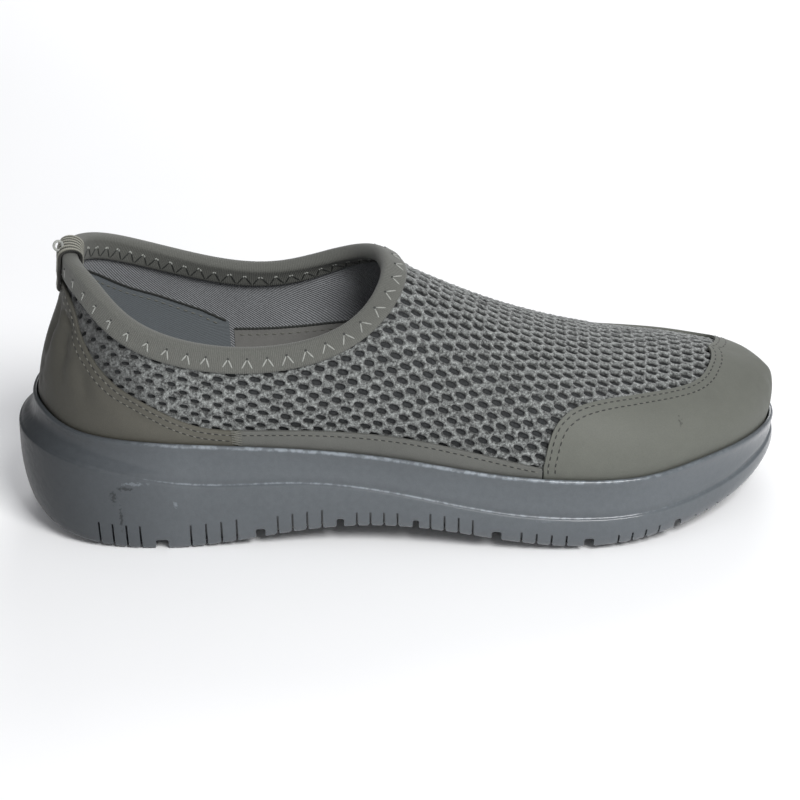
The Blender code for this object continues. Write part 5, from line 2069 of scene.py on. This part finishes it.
# %% Cloths and threads
def cloth(name, colour, rib, turn, contrast, roughness=0.92):
    """Ribbed cloth on a piece's own layout."""
    material, tree, shader = new_material(name, roughness, Sheen_Weight=0.12)
    weave = diagonal_ribs(tree, rib, turn)
    fibres = use(tree, mottle, Colour=colour, Scale=2400.0, Amount=contrast)
    shade = add_node(tree, "ShaderNodeMapRange", Value=weave.outputs["Fac"])
    shade.inputs["To Min"].default_value = 1.0 - contrast
    shade.inputs["To Max"].default_value = 1.0 + contrast / 2
    put(tree, shader, "Base Color", toned(tree, fibres.outputs["Colour"], shade.outputs["Result"]))
    raised = bump(tree, weave.outputs["Fac"], CLOTH_RELIEF)
    fuzzy = bump(tree, fibres.outputs["Height"], CLOTH_RELIEF / 2, raised)
    put(tree, shader, "Normal", fuzzy.outputs["Normal"])
    return material


def thread(name, colour):
    """Twisted thread with a slight silk."""
    material, tree, shader = new_material(name, 0.55)
    twist = use(tree, mottle, Colour=colour, Scale=2600.0, Amount=0.25)
    put(tree, shader, "Base Color", twist.outputs["Colour"])
    return material


CLOTH_RELIEF = 0.0001

tape_knit = cloth("tape_knit", seen(117, 118, 112), 0.0007, 0.0, 0.14, 0.85)
heel_cloth = cloth("heel_cloth", seen(132, 139, 143), 0.0008, math.radians(-50), 0.12)
sock_cloth = cloth("sock_cloth", seen(92, 95, 98), 0.0012, math.radians(45), 0.12)
band_cloth = leather("foot_lining_leather", seen(150, 149, 145))
light_thread = thread("light_thread", seen(186, 188, 182))
seam_thread = thread("seam_thread", seen(128, 128, 119))
under_dark = thread("under_dark", seen(62, 64, 62))
needle_shadow = thread("needle_shadow", seen(38, 38, 36))
print("materials:", len(bpy.data.materials))

# %% [markdown]
# The webbing has a dark line between two cords, where the light doesn't reach. The
# height of the cords was painted on the tab's corners, and here it scales the colour.

# %% Webbing
tab_webbing = cloth("tab_webbing", seen(164, 163, 150), 0.0007, math.radians(90), 0.12)
tree = tab_webbing.node_tree
shader = tree.nodes["Principled BSDF"]
cord = add_node(tree, "ShaderNodeAttribute", attribute_name="cord")
# Painted light and shadow: cord tops a little lighter, the lines between them dark.
between = add_node(
    tree, "ShaderNodeMapRange", Value=cord.outputs["Fac"],
    From_Min=0.45, From_Max=0.95, To_Min=0.12, To_Max=1.15,
)
woven = shader.inputs["Base Color"].links[0].from_socket
put(tree, shader, "Base Color", toned(tree, woven, between.outputs["Result"]))
print(tab_webbing.name, len(tree.nodes), "nodes")

# %% [markdown]
# Even a studio table isn't one flat colour, so its paint is mottled by one part in a
# hundred.

# %% Paint of the floor
tree = floor_paint.node_tree
clouds = use(tree, mottle, Colour=FLOOR_COLOUR, Scale=3.0, Amount=0.01)
put(tree, tree.nodes["Principled BSDF"], "Base Color", clouds.outputs["Colour"])
print(floor_paint.name, len(tree.nodes), "nodes")

# %% [markdown]
# ## Dressing the pieces
# Each piece gets its finish and rides on the shoe's one body, and where it stands for
# a solid, that solid is hidden.

# %% Dressing
dress(sole, sole_rubber, "sole", 50.0)
dress(toe_cap, cap_leather, "toe_cap")
dress(heel_counter, counter_leather, "heel_counter")
dress(band_lateral, band_leather, "side_band_lateral")
dress(band_medial, band_leather, "side_band_medial")
dress(knit, knit_yarn, "upper", 75.0)
dress(backing, foam_dark, None)
dress(lining, twill, None)
dress(insole, sock_cloth, "insole")
dress(binding, tape_knit, "collar_binding")
dress(pull_tab, tab_webbing, "pull_tab", 60.0)
dress(panel_seams, seam_thread)
dress(needle_hole_shadows, needle_shadow)
dress(zigzag, light_thread)
dress(under_thread, under_dark)
dress(heel_lining, heel_cloth, None)
for piece in band_linings:
    dress(piece, band_cloth, None)
dress(lining_cord, under_dark)
dress(lining_seams, seam_thread)
dress(thread_loop, light_thread)
